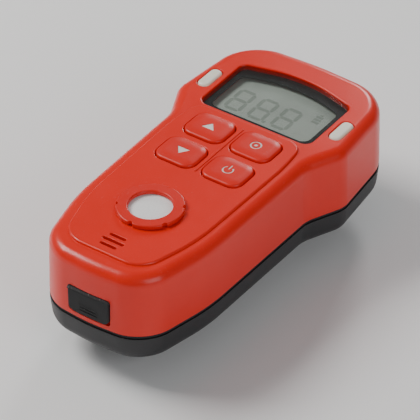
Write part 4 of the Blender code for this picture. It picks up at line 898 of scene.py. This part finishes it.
class GASDETECTOR_OT_front_shell(DetectorOperator, bpy.types.Operator):
    """Front shell with its key panel, openings and charging recess"""

    bl_idname = "gas_detector.front_shell"
    bl_label = "Front Shell"

    def execute(self, context):
        s, sensor, keys = settings().casing, settings().sensor, settings().keys
        face, lip = face_z(), s.opening_lip
        under = face - s.face_wall
        shell = object_of("detector_front_shell", wall(0.0, FRONT_EDGE_Z, face, s.face_edge, 9))
        panel = slab(panel_corners(), face - SINK, PANEL_Z, s.panel_edge)
        hollow = wall(s.side_wall, FRONT_EDGE_Z - CUT, under, s.face_edge - s.side_wall, 5)
        jack, port, buzzer = middle("charging_jack"), middle("filter_disc"), middle("buzzer")
        posts = spots(*(f"display_screw_{side}" for side in SIDES))
        board_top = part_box("key_board")[1].z
        bosses = [disc(s.boss, FRONT_EDGE_Z, under + SINK, place, 32) for place in screw_places()]
        bosses += [disc(s.post, board_top + s.clearance, under + SINK, place, 32) for place in posts]
        hole_radius = span("sensor_cap").x / 2 - sensor.lip

        openings = [
            mouth(grown(window_corners(), s.clearance), face, face - WINDOW_SEAT, lip),
            mouth(lambda inward, z: round_face(hole_radius - inward, (port.x, port.y), z, 96),
                  PANEL_Z, under - CUT, lip / 2),
        ]
        for name in KEY_NAMES:
            cap = cap_corners(f"key_{name}", keys.flange, keys.corner)
            openings.append(mouth(grown(cap, s.clearance), PANEL_Z, under - CUT, lip))
        for side in SIDES:
            lens = cap_corners(f"alarm_lens_{side}", keys.lens_flange, 1.0)
            openings.append(mouth(grown(lens, s.clearance), face, under - CUT, lip / 2))
        for row, length in enumerate(SLOT_LENGTHS):
            place = (0.0, buzzer.y + (1 - row) * s.slot_pitch)
            slot = rectangle(length, s.slot_width, s.slot_width / 2 - 0.06 * MM, place)
            openings.append(mouth(grown(slot), PANEL_Z, under - CUT, lip / 2))

        cover, cover_y = middle("port_cover"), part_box("port_cover")[0].y
        floor_y = cover_y + COVER_SEAT
        recess = rectangle(
            span("port_cover").x + 2 * s.clearance, span("port_cover").z + 2 * s.clearance, 1.2 * MM,
            (0.0, -cover.z),
        )
        openings.append(placed(slab(recess, 0.0, COVER_SEAT + 3 * CUT), Matrix(
            ((1, 0, 0, 0), (0, 0, 1, cover_y - 3 * CUT), (0, -1, 0, 0), (0, 0, 0, 1))
        )))
        ledge = settings().display.ledge
        view = slab(window_corners(ledge, ledge), under - CUT, face)
        lug_cuts = [
            wedge(port, LUG_SLOT_TURN + turn, LUG_SLOT_ARC, hole_radius - 1.0 * MM,
                  hole_radius + sensor.lug_reach, under - CUT, PANEL_Z + CUT)
            for turn in (0.0, math.pi)
        ]
        port_hole = rod(SOCKET_HOLE, (0, floor_y - CUT, jack.z), (0, floor_y + 6 * CUT, jack.z), 48)
        bore_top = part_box("case_screw_top_left")[1].z + CUT
        post_bore_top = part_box("display_screw_left")[1].z + 0.5 * MM
        bores = [disc(s.screw_bore, FRONT_EDGE_Z - CUT, bore_top, place, 24) for place in screw_places()]
        bores += [disc(s.post_bore, board_top, post_bore_top, place, 24) for place in posts]

        inner, fine = span("buzzer").x / 2 + s.clearance, 0.1 * MM
        outer, collar_z = inner + COLLAR_WALL, under - COLLAR_DEPTH
        bosses.append(turned([
            (inner, under + SINK, fine), (outer, under + SINK, fine), (outer, collar_z, fine),
            (inner, collar_z, fine),
        ], (buzzer.x, buzzer.y), 48, 2))
        bosses.append(box(
            (-PAD_HALF, floor_y + SINK, jack.z - PAD_BELOW),
            (PAD_HALF, floor_y + PAD_BACK, jack.z + PAD_ABOVE),
        ))
        length, rib_y, height = KEY_RIB
        rib_corners = rectangle(s.rib_width, length, s.rib_width / 2 - 0.02 * MM, (0.0, rib_y))
        rib = slab(rib_corners, PANEL_Z - SINK, PANEL_Z + height, 0.25 * MM)
        shape(
            shell, ("UNION", [panel]), ("DIFFERENCE", [hollow]), ("UNION", bosses), ("UNION", [rib]),
            ("DIFFERENCE", openings), ("DIFFERENCE", [view, *lug_cuts, port_hole, *bores]),
        )
        finish_piece(shell, HOUSING, "red casing", ["front_shell"], angle=32.0)
        return {"FINISHED"}


def screw_places():
    return spots(*(f"case_screw_{end}_{side}" for end in ENDS for side in SIDES))


def wedge(centre, turn, arc, inner, outer, low, high, steps=8):
    """A sector of a ring about centre, from its profile swept through arc; a full turn closes up."""
    bm = bmesh.new()
    corners = [(inner, low), (outer, low), (outer, high), (inner, high)]
    face = bm.faces.new([bm.verts.new((radius, 0.0, z)) for radius, z in corners])
    bmesh.ops.rotate(bm, cent=(0, 0, 0), matrix=Matrix.Rotation(turn - arc / 2, 3, "Z"), verts=bm.verts)
    full = arc > math.radians(359)
    if full:
        bmesh.ops.delete(bm, geom=[face], context="FACES_ONLY")
    bmesh.ops.spin(
        bm, geom=bm.edges[:] if full else [face], cent=(0, 0, 0), axis=(0, 0, 1), angle=arc, steps=steps,
        use_merge=full,
    )
    bmesh.ops.translate(bm, vec=(centre.x, centre.y, 0.0), verts=bm.verts)
    return bm


class GASDETECTOR_OT_rear_shell(DetectorOperator, bpy.types.Operator):
    """Rear shell with its screw wells, and the seal between the shells"""

    bl_idname = "gas_detector.rear_shell"
    bl_label = "Rear Shell and Seal"

    def execute(self, context):
        s = settings().casing
        inside = BACK_Z + s.side_wall
        shell = object_of("detector_rear_shell", wall(0.0, REAR_EDGE_Z, BACK_Z, s.back_edge, 9))
        hollow = wall(s.side_wall, REAR_EDGE_Z + CUT, inside, s.back_edge - s.side_wall, 5, FOOT + CUT)
        posts = spots(*(f"board_screw_{level}_{side}" for level in LEVELS for side in SIDES))
        clip_screws = spots(*(f"clip_screw_{level}" for level in LEVELS))
        post_top, pad_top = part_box("rear_shell")[1].z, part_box("battery_pad")[1].z
        bosses = [
            disc(radius, inside - SINK, top, place, 32)
            for radius, top, places in (
                (s.boss, REAR_EDGE_Z, screw_places()), (s.post, post_top, posts),
                (CLIP_PAD, pad_top, clip_screws),
            )
            for place in places
        ]
        cell_low, cell_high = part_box("battery")
        half = span("battery").x / 4
        for y in (cell_low.y - s.clearance - RIB, cell_high.y + s.clearance):
            bosses.append(box((-half, y, inside - SINK), (half, y + RIB, cell_low.z + RIB_GRIP)))
        turn = Matrix.Rotation(math.pi, 4, "X")
        radius, depth = SCREW_WELL
        wells = [
            placed(mouth(lambda inward, z, x=x, y=y: round_face(radius - inward, (x, -y), z, 48),
                         -BACK_Z, -BACK_Z - depth, 0.4 * MM), turn)
            for x, y in screw_places()
        ]
        bores = [disc(s.screw_bore, BACK_Z, REAR_EDGE_Z + CUT, place, 24) for place in screw_places()]
        bores += [disc(s.post_bore, inside + CUT, post_top + CUT, place, 24) for place in posts]
        clip_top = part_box("clip_screw_upper")[1].z
        clip_bores = [disc(CLIP_BORE, BACK_Z - CUT, clip_top, place, 24) for place in clip_screws]
        shape(
            shell, ("DIFFERENCE", [hollow]), ("UNION", bosses), ("DIFFERENCE", wells + clip_bores),
            ("DIFFERENCE", bores),
        )
        finish_piece(shell, HOUSING, "black casing", ["rear_shell"], angle=32.0)

        low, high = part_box("shell_seal")
        bm, start = corner_face(body_corners(), s.clearance, low.z, 12)
        ring = bmesh.ops.inset_region(
            bm, faces=[start], thickness=SEAL_WIDTH, use_boundary=True, use_even_offset=True
        )
        bmesh.ops.delete(bm, geom=[start], context="FACES_ONLY")
        made = bmesh.ops.extrude_face_region(bm, geom=ring["faces"])
        tops = [item for item in made["geom"] if isinstance(item, bmesh.types.BMVert)]
        bmesh.ops.translate(bm, vec=(0, 0, high.z - low.z), verts=tops)
        seal = object_of("detector_shell_seal", bm)
        finish_piece(seal, HOUSING, "black rubber", ["shell_seal"], edge=0.15 * MM)
        return {"FINISHED"}


class GASDETECTOR_OT_display(DetectorOperator, bpy.types.Operator):
    """Window, black border, display panel and its unlit segments"""

    bl_idname = "gas_detector.display"
    bl_label = "Display"

    def execute(self, context):
        d = settings().display
        low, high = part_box("display_window")
        lens = object_of("detector_window", slab(window_corners(), low.z, high.z, 0.18 * MM, steps=12))
        finish_piece(lens, HOUSING, "clear lens", ["display_window"])

        low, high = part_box("window_gasket")
        frame_solid = slab(window_corners(), low.z, high.z, 0.1 * MM, 0.2 * MM, 12)
        border = object_of("detector_display_border", frame_solid)
        view = slab(window_corners(d.border_side, d.border_top), low.z - CUT, high.z + CUT, steps=12)
        shape(border, ("DIFFERENCE", [view]))
        finish_piece(border, HOUSING, "printed border", ["window_gasket"])

        low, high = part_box("lcd_panel")
        ground = slab(plate_corners("lcd_panel", 0.8 * MM), low.z, high.z, 0.15 * MM)
        panel = object_of("detector_display_panel", ground)
        finish_piece(panel, HOUSING, "display ground", ["lcd_panel"])

        bottom = window_top() - d.height + d.border_side
        digit_low = bottom + DIGIT_FOOT
        digit_y = digit_low + d.digit_height / 2
        bars = []
        for place in (-1.5, -0.5, 0.5):
            bars += digit_bars(place * (d.digit_width + DIGIT_GAP) + 0.6 * MM, digit_y, high.z)
        point = rectangle(d.stroke, d.stroke, 0.3 * MM, (-0.2 * MM, digit_low + d.stroke / 2))
        bars.append(inked(point, high.z, 3))
        bars += cell_bars(13.6 * MM, digit_y + d.digit_height / 2 - 2.2 * MM, high.z)
        for column in range(9):
            place = (-12.6 * MM + column * SCALE_STEP, bottom + 1.6 * MM)
            bars.append(inked(rectangle(*SCALE_BAR, 0.2 * MM, place), high.z, 2))
        segments = object_of("detector_display_segments", together(bars))
        finish_piece(segments, HOUSING, "display segments")
        return {"FINISHED"}


def inked(corners, z, steps):
    """A flat bar just above the display's ground at z."""
    return slab(corners, z + INK_LOW, z + INK_HIGH, steps=steps)


def digit_bars(x, y, z):
    """Seven bars with pointed ends, as one digit of the display."""
    d = settings().display
    half_w, half_h = (d.digit_width - d.stroke) / 2, (d.digit_height - d.stroke) / 2
    w = d.stroke / 2
    runs = [((x, y + side * half_h), half_w, 0.0) for side in (-1, 0, 1)]
    runs += [
        ((x + across * half_w, y + up * half_h / 2), half_h / 2, math.pi / 2)
        for across in (-1, 1) for up in (-1, 1)
    ]
    bars = []
    for (cx, cy), half, turn in runs:
        reach = half - BAR_GAP
        tip = max(reach - w, 0.1 * MM)
        ring = [(reach, 0.0), (tip, -w), (-tip, -w), (-reach, 0.0), (-tip, w), (tip, w)]
        bar = slab([(px, py, 0.06 * MM) for px, py in ring], 0.0, INK_HIGH - INK_LOW, steps=1)
        move = Matrix.Translation((cx, cy, z + INK_LOW)) @ Matrix.Rotation(turn, 4, "Z")
        bars.append(placed(bar, move))
    return bars


def cell_bars(x, y, z):
    """A plain battery sign: three blocks and a nub."""
    blocks = [rectangle(2.6 * MM, 1.1 * MM, 0.15 * MM, (x, y + row * 1.5 * MM)) for row in range(3)]
    blocks.append(rectangle(1.2 * MM, 0.7 * MM, 0.1 * MM, (x, y + 4.15 * MM)))
    return [inked(block, z, 2) for block in blocks]


class GASDETECTOR_OT_keys(DetectorOperator, bpy.types.Operator):
    """Four crowned key caps with sunk marks"""

    bl_idname = "gas_detector.keys"
    bl_label = "Keys"

    def execute(self, context):
        k = settings().keys
        for name in KEY_NAMES:
            cad = f"key_{name}"
            low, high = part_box(cad)
            cap = cap_corners(cad, k.flange, k.corner)
            bm, face = corner_face(cap, -k.flange, low.z, 8)
            neck = high.z - k.crown - k.edge - low.z - KEY_FLANGE
            crown = [((k.corner - k.edge) * 0.21, k.crown * share) for share in (0.46, 0.28, 0.16, 0.10)]
            rise(bm, face, [
                (0.0, KEY_FLANGE), (k.flange, 0.0), (0.0, neck), *quarter(k.edge, 6), *crown
            ])
            key = object_of(f"detector_{cad}", bm)
            centre = middle(cad)
            floor = high.z - k.mark_depth
            shape(key, ("DIFFERENCE", key_mark(name, centre.x, centre.y, floor, high.z + CUT)))
            finish_piece(key, cad, "red key", [cad], angle=30.0)
            ink = key_mark(name, centre.x, centre.y, floor + 0.01 * MM, floor + k.ink, 0.04 * MM)
            mark = object_of(f"detector_{cad}_mark", together(ink))
            finish_piece(mark, cad, "pale ink")
        return {"FINISHED"}


def key_mark(name, x, y, low, high, inward=0.0):
    """Solids of a plain mark: a triangle up or down, a ring round a dot, or a broken ring and a bar."""
    reach, fine, stroke = settings().keys.mark_reach, 0.15 * MM, 0.6 * MM
    if name in ("up", "down"):
        sign = 1 if name == "up" else -1
        base = -sign * reach * 0.6
        ring = [(0.0, sign * reach * 0.75), (sign * reach, base), (-sign * reach, base)]
        return [slab([(x + px, y + py, fine) for px, py in ring], low, high, inward=inward, steps=3)]
    arc, turn = (2 * math.pi, 0.0) if name == "enter" else (math.radians(290), math.radians(-90))
    outer = reach * 0.8
    ring = wedge(Vector((x, y, 0.0)), turn, arc, outer - stroke + inward, outer - inward, low, high, 40)
    if name == "enter":
        return [ring, disc(0.65 * MM - inward, low, high, (x, y), 24)]
    bar = rectangle(stroke, reach, 0.25 * MM, (x, y + outer * 0.72))
    return [ring, slab(bar, low, high, inward=inward, steps=3)]


class GASDETECTOR_OT_alarm_lenses(DetectorOperator, bpy.types.Operator):
    """Frosted lenses over the alarm lights"""

    bl_idname = "gas_detector.alarm_lenses"
    bl_label = "Alarm Lenses"

    def execute(self, context):
        k = settings().keys
        for side in SIDES:
            cad = f"alarm_lens_{side}"
            low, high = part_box(cad)
            bm, face = corner_face(cap_corners(cad, k.lens_flange, 1.0), -k.lens_flange, low.z, 10)
            rise(bm, face, [
                (0.0, LENS_FLANGE), (k.lens_flange, 0.0),
                (0.0, high.z - k.lens_edge - low.z - LENS_FLANGE), *quarter(k.lens_edge, 7),
            ])
            lens = object_of(f"detector_{cad}", bm)
            finish_piece(lens, HOUSING, "frosted lens", [cad])
        return {"FINISHED"}


class GASDETECTOR_OT_sensor_port(DetectorOperator, bpy.types.Operator):
    """Bayonet cap and white filter over the gas sensor"""

    bl_idname = "gas_detector.sensor_port"
    bl_label = "Sensor Port"

    def execute(self, context):
        s = settings().sensor
        low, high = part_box("sensor_cap")
        port = middle("filter_disc")
        outer = (high.x - low.x) / 2
        skirt = outer - s.lip - s.clearance
        rim = high.z - s.cap_height
        soft, tight = 0.55 * MM, 0.08 * MM
        cap = object_of("detector_sensor_cap", turned([
            (s.opening, high.z, soft), (outer, high.z, soft), (outer, rim, tight), (skirt, rim, tight),
            (skirt, low.z, tight), (skirt - s.skirt, low.z, tight), (skirt - s.skirt, rim, tight),
            (s.opening, rim, tight),
        ], (port.x, port.y)))
        lugs = [
            wedge(port, turn, LUG_ARC, skirt - SINK, skirt + s.lug_reach, low.z, low.z + s.lug_height)
            for turn in (0.0, math.pi)
        ]
        notches = []
        for i in range(6):
            angle = math.radians(30 + 60 * i)
            place = (port.x + outer * math.cos(angle), port.y + outer * math.sin(angle))
            notches.append(disc(s.notch, rim - 0.5 * MM, high.z + CUT, place, 32))
        shape(cap, ("UNION", lugs), ("DIFFERENCE", notches))
        finish_piece(cap, "sensor_cap", "red key", ["sensor_cap"], edge=0.12 * MM, angle=50.0)

        low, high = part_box("filter_disc")
        radius = (high.x - low.x) / 2
        bm, face = round_face(radius, (port.x, port.y), low.z, 96)
        dish = [(radius * share, -0.05 * MM) for share in (0.12, 0.15, 0.2)]
        rise(bm, face, [(0.0, high.z - low.z - 0.15 * MM), *quarter(0.15 * MM, 3), *dish])
        disc_piece = object_of("detector_filter_disc", bm)
        finish_piece(disc_piece, HOUSING, "white membrane", ["filter_disc"])
        return {"FINISHED"}


class GASDETECTOR_OT_port_cover(DetectorOperator, bpy.types.Operator):
    """Rubber cover over the charging socket, with grip ribs and a plug behind"""

    bl_idname = "gas_detector.port_cover"
    bl_label = "Charging Cover"

    def execute(self, context):
        low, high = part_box("port_cover")
        jack = middle("charging_jack")
        half = (high.x - low.x) / 2
        top, inner = high.z - COVER_BEAD, low.y + COVER_PLATE
        outline = both_sides([(half, top, 0.7 * MM), (half, low.z, 2.4 * MM)])
        outward = Matrix.Translation((0.0, inner, 0.0)) @ Matrix.Rotation(math.pi / 2, 4, "X")
        cover = object_of("detector_port_cover", placed(slab(outline, 0.0, COVER_PLATE, 0.45 * MM), outward))
        ribs = []
        for row in range(3):
            line = rectangle(*COVER_RIB, 0.28 * MM, (0.0, low.z + 1.5 * MM + COVER_RIB_STEP * row))
            rib = slab(line, COVER_PLATE - SINK, COVER_PLATE + 0.22 * MM, 0.2 * MM, steps=4)
            ribs.append(placed(rib, outward))
        hinge_y = inner - COVER_BEAD
        roll = rod(COVER_BEAD, (-half, hinge_y, top), (half, hinge_y, top), 24)
        plug = rod(PLUG_RADIUS, (0, inner - SINK, jack.z), (0, high.y, jack.z), 48)
        shape(cover, ("UNION", ribs), ("UNION", [plug]), ("UNION", [roll]))
        finish_piece(cover, "port_cover", "black rubber", ["port_cover"], edge=0.1 * MM, angle=45.0)
        return {"FINISHED"}


def clip_ears(half, foot_z, reach_x):
    """Two rounded ears across the pin, each with a foot of half its width at foot_z."""
    c, pin_z = settings().clip, middle("clip_pin").z
    sign = 1 if pin_z > foot_z else -1
    tip = pin_z + sign * c.ear
    corners = [
        (c.pin_y + c.ear, tip, c.ear - 0.02 * MM), (c.pin_y + half, foot_z, SHARP),
        (c.pin_y - half, foot_z, SHARP), (c.pin_y - c.ear, tip, c.ear - 0.02 * MM),
    ]
    if sign < 0:
        corners.reverse()
    across = Matrix(((0, 0, 1, 0), (1, 0, 0, 0), (0, 1, 0, 0), (0, 0, 0, 1)))
    thickness = c.plate - FIT
    places = [side * (reach_x - c.plate / 2 - FIT) for side in (-1, 1)]
    return [
        placed(slab(corners, x - thickness / 2, x + thickness / 2, steps=10), across) for x in places
    ]


def pin_bore(node):
    """The pin's bore through both ears of a plate."""
    c, pin_z, (low, high) = settings().clip, middle("clip_pin").z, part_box(node)
    return rod(c.pin_radius + FIT, (low.x - CUT, c.pin_y, pin_z), (high.x + CUT, c.pin_y, pin_z), 32)


class GASDETECTOR_OT_belt_clip(DetectorOperator, bpy.types.Operator):
    """Base, sprung lever, pin and torsion spring of the belt clip"""

    bl_idname = "gas_detector.belt_clip"
    bl_label = "Belt Clip"

    def execute(self, context):
        c = settings().clip
        pin = middle("clip_pin")
        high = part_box("clip_base")[1]
        plate_low = high.z - c.plate
        base = object_of("detector_clip_base", slab(plate_corners("clip_base", 2.0 * MM), plate_low, high.z))
        holes = [
            disc(CLIP_BORE, plate_low - CUT, high.z + CUT, place, 32)
            for place in spots(*(f"clip_screw_{level}" for level in LEVELS))
        ]
        ears = clip_ears(c.ear, plate_low + c.plate / 2, high.x)
        shape(base, ("UNION", ears), ("DIFFERENCE", [pin_bore("clip_base"), *holes]))
        finish_piece(base, HOUSING, "plated steel", ["clip_base"], edge=0.16 * MM, angle=40.0)

        low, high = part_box("clip_lever")
        top = low.z + c.plate
        lever = object_of("detector_clip_lever", slab(plate_corners("clip_lever", 3.5 * MM), low.z, top))
        jaw_half, jaw_y = high.x - JAW_INSET, low.y + JAW_STEP
        jaw = box((-jaw_half, jaw_y, low.z + c.plate / 2), (jaw_half, jaw_y + c.plate, high.z))
        rib_corners = rectangle(*LEVER_RIB, LEVER_RIB_PLACE)
        rib = slab(rib_corners, top - SINK, top + LEVER_RIB_RISE, 0.4 * MM)
        cuts = [pin_bore("clip_lever")]
        for i in range(1, TEETH + 1):
            x = -jaw_half + 2 * jaw_half * i / (TEETH + 1)
            cuts.append(rod(TOOTH_RADIUS, (x, jaw_y - CUT, high.z), (x, jaw_y + c.plate + CUT, high.z), 24))
        for row in range(GRIPS):
            y, z = high.y - 2.6 * MM - GRIP_STEP * row, low.z - 0.15 * MM
            cuts.append(rod(GRIP_RADIUS, (-7.0 * MM, y, z), (7.0 * MM, y, z), 16))
        groove = rectangle(*LEVER_GROOVE, LEVER_RIB_PLACE)
        cuts.append(slab(groove, low.z - CUT, low.z + LEVER_RIB_RISE, 0.3 * MM))
        ears = clip_ears(1.6 * c.ear, low.z + c.plate / 2, high.x)
        shape(lever, ("UNION", [*ears, jaw, rib]), ("DIFFERENCE", cuts))
        finish_piece(lever, "clip_lever", "plated steel", ["clip_lever"], edge=0.16 * MM, angle=40.0)

        low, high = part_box("clip_pin")
        head, reach = 0.8 * MM, (high.x - low.x) / 2
        soft, tight = 0.6 * MM, 0.05 * MM
        along_x = Matrix.Translation((0.0, c.pin_y, pin.z)) @ Matrix.Rotation(math.pi / 2, 4, "Y")
        shank = turned([
            (0.0, reach, 0.0), (c.pin_head, reach, soft), (c.pin_head, reach - head, tight),
            (c.pin_radius, reach - head, tight), (c.pin_radius, head - reach, tight),
            (c.pin_head, head - reach, tight), (c.pin_head, -reach, soft), (0.0, -reach, 0.0),
        ], count=48)
        hinge = object_of("detector_clip_pin", placed(shank, along_x))
        finish_piece(hinge, HOUSING, "screw steel", ["clip_pin"])
        torsion_spring(pin.z)
        return {"FINISHED"}


def torsion_spring(pin_z):
    """The clip's spring: a swept coil with two straight legs."""
    c = settings().clip
    low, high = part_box("clip_spring")
    around = 14
    half = span("clip_spring").x / 2 - c.wire
    steps = int(SPRING_TURNS * 2 * around)
    bm, face = round_face(c.wire, count=around)
    upright = Matrix.Translation((-half, c.pin_y, pin_z + c.coil)) @ Matrix.Rotation(math.pi / 2, 4, "X")
    bmesh.ops.transform(bm, matrix=upright, verts=bm.verts)
    made = bmesh.ops.spin(
        bm, geom=[face], cent=(0.0, c.pin_y, pin_z), axis=(1, 0, 0), dvec=(2 * half / steps, 0, 0),
        angle=SPRING_TURNS * 2 * math.pi, steps=steps,
    )
    caps = sorted(
        (f for f in bm.faces if len(f.verts) == around), key=lambda f: f.calc_center_median().x
    )
    for end, z in ((caps[0], high.z - c.wire), (caps[-1], low.z + c.wire)):
        grown = bmesh.ops.extrude_discrete_faces(bm, faces=[end])["faces"][0]
        place = grown.calc_center_median()
        bmesh.ops.translate(bm, vec=(0.0, high.y - c.wire * 0.2 - place.y, z - place.z), verts=grown.verts)
    bmesh.ops.remove_doubles(bm, verts=bm.verts, dist=WELD)
    spring = object_of("detector_clip_spring", bm)
    finish_piece(spring, HOUSING, "spring steel", ["clip_spring"])
    spring.parent = None
    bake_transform(spring)


class GASDETECTOR_OT_screws(DetectorOperator, bpy.types.Operator):
    """Case and clip screws with cross recesses"""

    bl_idname = "gas_detector.screws"
    bl_label = "Screws"

    def execute(self, context):
        kinds = [
            *((f"case_screw_{end}_{side}", *CASE_SCREW) for end in ENDS for side in SIDES),
            *((f"clip_screw_{level}", *CLIP_SCREW) for level in LEVELS),
        ]
        for cad, shank, head in kinds:
            low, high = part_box(cad)
            centre = middle(cad)
            radius = (high.x - low.x) / 2
            soft, tight = head * 0.5, 0.04 * MM
            bm = turned([
                (0.0, high.z, 0.0), (shank, high.z, 0.4 * MM), (shank, low.z + head, tight),
                (radius, low.z + head, tight), (radius, low.z, soft), (0.0, low.z, 0.0),
            ], (centre.x, centre.y), 40)
            screw = object_of(f"detector_{cad}", bm)
            arm, width, depth = radius * 0.62, 0.34 * MM, 0.75 * MM
            bars = [
                slab(rectangle(*sides, 0.3 * MM, (centre.x, centre.y)), low.z - CUT, low.z + depth,
                     0.2 * MM, steps=3)
                for sides in ((2 * arm, 2 * width), (2 * width, 2 * arm))
            ]
            shape(screw, ("DIFFERENCE", bars[:1]), ("DIFFERENCE", bars[1:]))
            finish_piece(screw, HOUSING, "screw steel", [cad])
        return {"FINISHED"}


INNER_FINISHES = {
    "battery": "cell sleeve", "battery_lead_negative": "black insulation",
    "battery_lead_positive": "red insulation", "battery_pad": "black rubber", "battery_plug": "white plastic",
    "board_connector": "chip black", "buzzer": "chip black", "charging_jack": "chip black",
    "gas_sensor": "white plastic", "key_board": "circuit board", "keypad_mat": "silicone",
    "lcd_backlight": "white plastic", "main_board": "circuit board", "microcontroller": "chip black",
    "motor_weight": "spring steel", "sensor_gasket": "black rubber", "sensor_mesh": "sintered mesh",
    "sensor_socket": "chip black", "vibration_motor": "plated steel",
    "alarm_led_left": "white plastic", "alarm_led_right": "white plastic",
}


class GASDETECTOR_OT_inner_parts(DetectorOperator, bpy.types.Operator):
    """Finishes of the parts inside the casing, whose shapes come from the frame"""

    bl_idname = "gas_detector.inner_parts"
    bl_label = "Inner Parts"

    def execute(self, context):
        for name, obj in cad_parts.items():
            obj.data.materials.clear()
            obj.data.materials.append(material(INNER_FINISHES.get(name, "screw steel")))
        return {"FINISHED"}


class GASDETECTOR_OT_stage(DetectorOperator, bpy.types.Operator):
    """Pale floor, soft studio lights and the camera"""

    bl_idname = "gas_detector.stage"
    bl_label = "Stage"

    def execute(self, context):
        s = settings().stage
        bm = bmesh.new()
        bmesh.ops.create_grid(bm, x_segments=1, y_segments=1, size=s.floor / 2)
        floor = object_of("studio_floor", bm)
        floor.data.materials.append(material("studio floor"))
        centre = (FRAME_LOW + FRAME_HIGH) / 2
        lights = (
            ("key", (-0.60, -0.15, 0.72), 0.40, 7.2, (1.0, 0.985, 0.96)),
            ("fill", (0.78, -0.30, 0.46), 0.55, 2.6, (0.97, 0.985, 1.0)),
            ("rim", (-0.25, 0.75, 0.42), 0.18, 1.8, (1.0, 1.0, 1.0)),
        )
        for name, place, side, power, tint in lights:
            lamp = bpy.data.lights.new(f"studio_{name}", "AREA")
            lamp.size = side
            lamp.energy = power
            lamp.color = tint
            obj = bpy.data.objects.new(f"studio_{name}", lamp)
            obj.location = place
            obj.rotation_euler = (centre - Vector(place)).to_track_quat("-Z", "Y").to_euler()
            bpy.context.scene.collection.objects.link(obj)
        world = bpy.data.worlds.new("studio")
        world.use_nodes = True
        sky = world.node_tree.nodes["Background"].inputs
        sky["Color"].default_value = (1.0, 1.0, 1.0, 1.0)
        sky["Strength"].default_value = 0.20
        bpy.context.scene.world = world

        camera = bpy.data.cameras.new("studio_camera")
        camera.lens = s.lens
        camera.sensor_width = 36.0
        camera.clip_start, camera.clip_end = 0.05, 20.0
        obj = bpy.data.objects.new("studio_camera", camera)
        back = Vector((
            math.sin(s.azimuth) * math.cos(s.elevation), -math.cos(s.azimuth) * math.cos(s.elevation),
            math.sin(s.elevation),
        ))
        obj.location = centre + back * s.distance
        obj.rotation_euler = (-back).to_track_quat("-Z", "Y").to_euler()
        bpy.context.scene.collection.objects.link(obj)
        bpy.context.scene.camera = obj
        return {"FINISHED"}


OPERATORS = (
    GASDETECTOR_OT_inner_parts, GASDETECTOR_OT_front_shell, GASDETECTOR_OT_rear_shell, GASDETECTOR_OT_display,
    GASDETECTOR_OT_keys, GASDETECTOR_OT_alarm_lenses, GASDETECTOR_OT_sensor_port, GASDETECTOR_OT_port_cover,
    GASDETECTOR_OT_belt_clip, GASDETECTOR_OT_screws, GASDETECTOR_OT_stage,
)


class GASDETECTOR_PT_panel(bpy.types.Panel):
    """Lists the detector's pieces and their settings"""

    bl_idname = "GASDETECTOR_PT_panel"
    bl_label = "Gas Detector"
    bl_space_type = "VIEW_3D"
    bl_region_type = "UI"
    bl_category = "Gas Detector"

    def draw(self, context):
        for operator in OPERATORS:
            self.layout.operator(operator.bl_idname)
        for name, group in GROUPS.items():
            part = self.layout.box()
            part.label(text=name.capitalize())
            for label in group.__annotations__:
                part.prop(getattr(settings(), name), label)


CLASSES = (*GROUPS.values(), DetectorSettings, *OPERATORS, GASDETECTOR_PT_panel)


def register():
    for cls in CLASSES:
        bpy.utils.register_class(cls)
    bpy.types.Scene.gas_detector = bpy.props.PointerProperty(type=DetectorSettings)


def unregister():
    del bpy.types.Scene.gas_detector
    for cls in reversed(CLASSES):
        bpy.utils.unregister_class(cls)


def main():
    register()
    for operator in OPERATORS:
        group, name = operator.bl_idname.split(".")
        getattr(getattr(bpy.ops, group), name)()


if __name__ == "__main__":
    main()
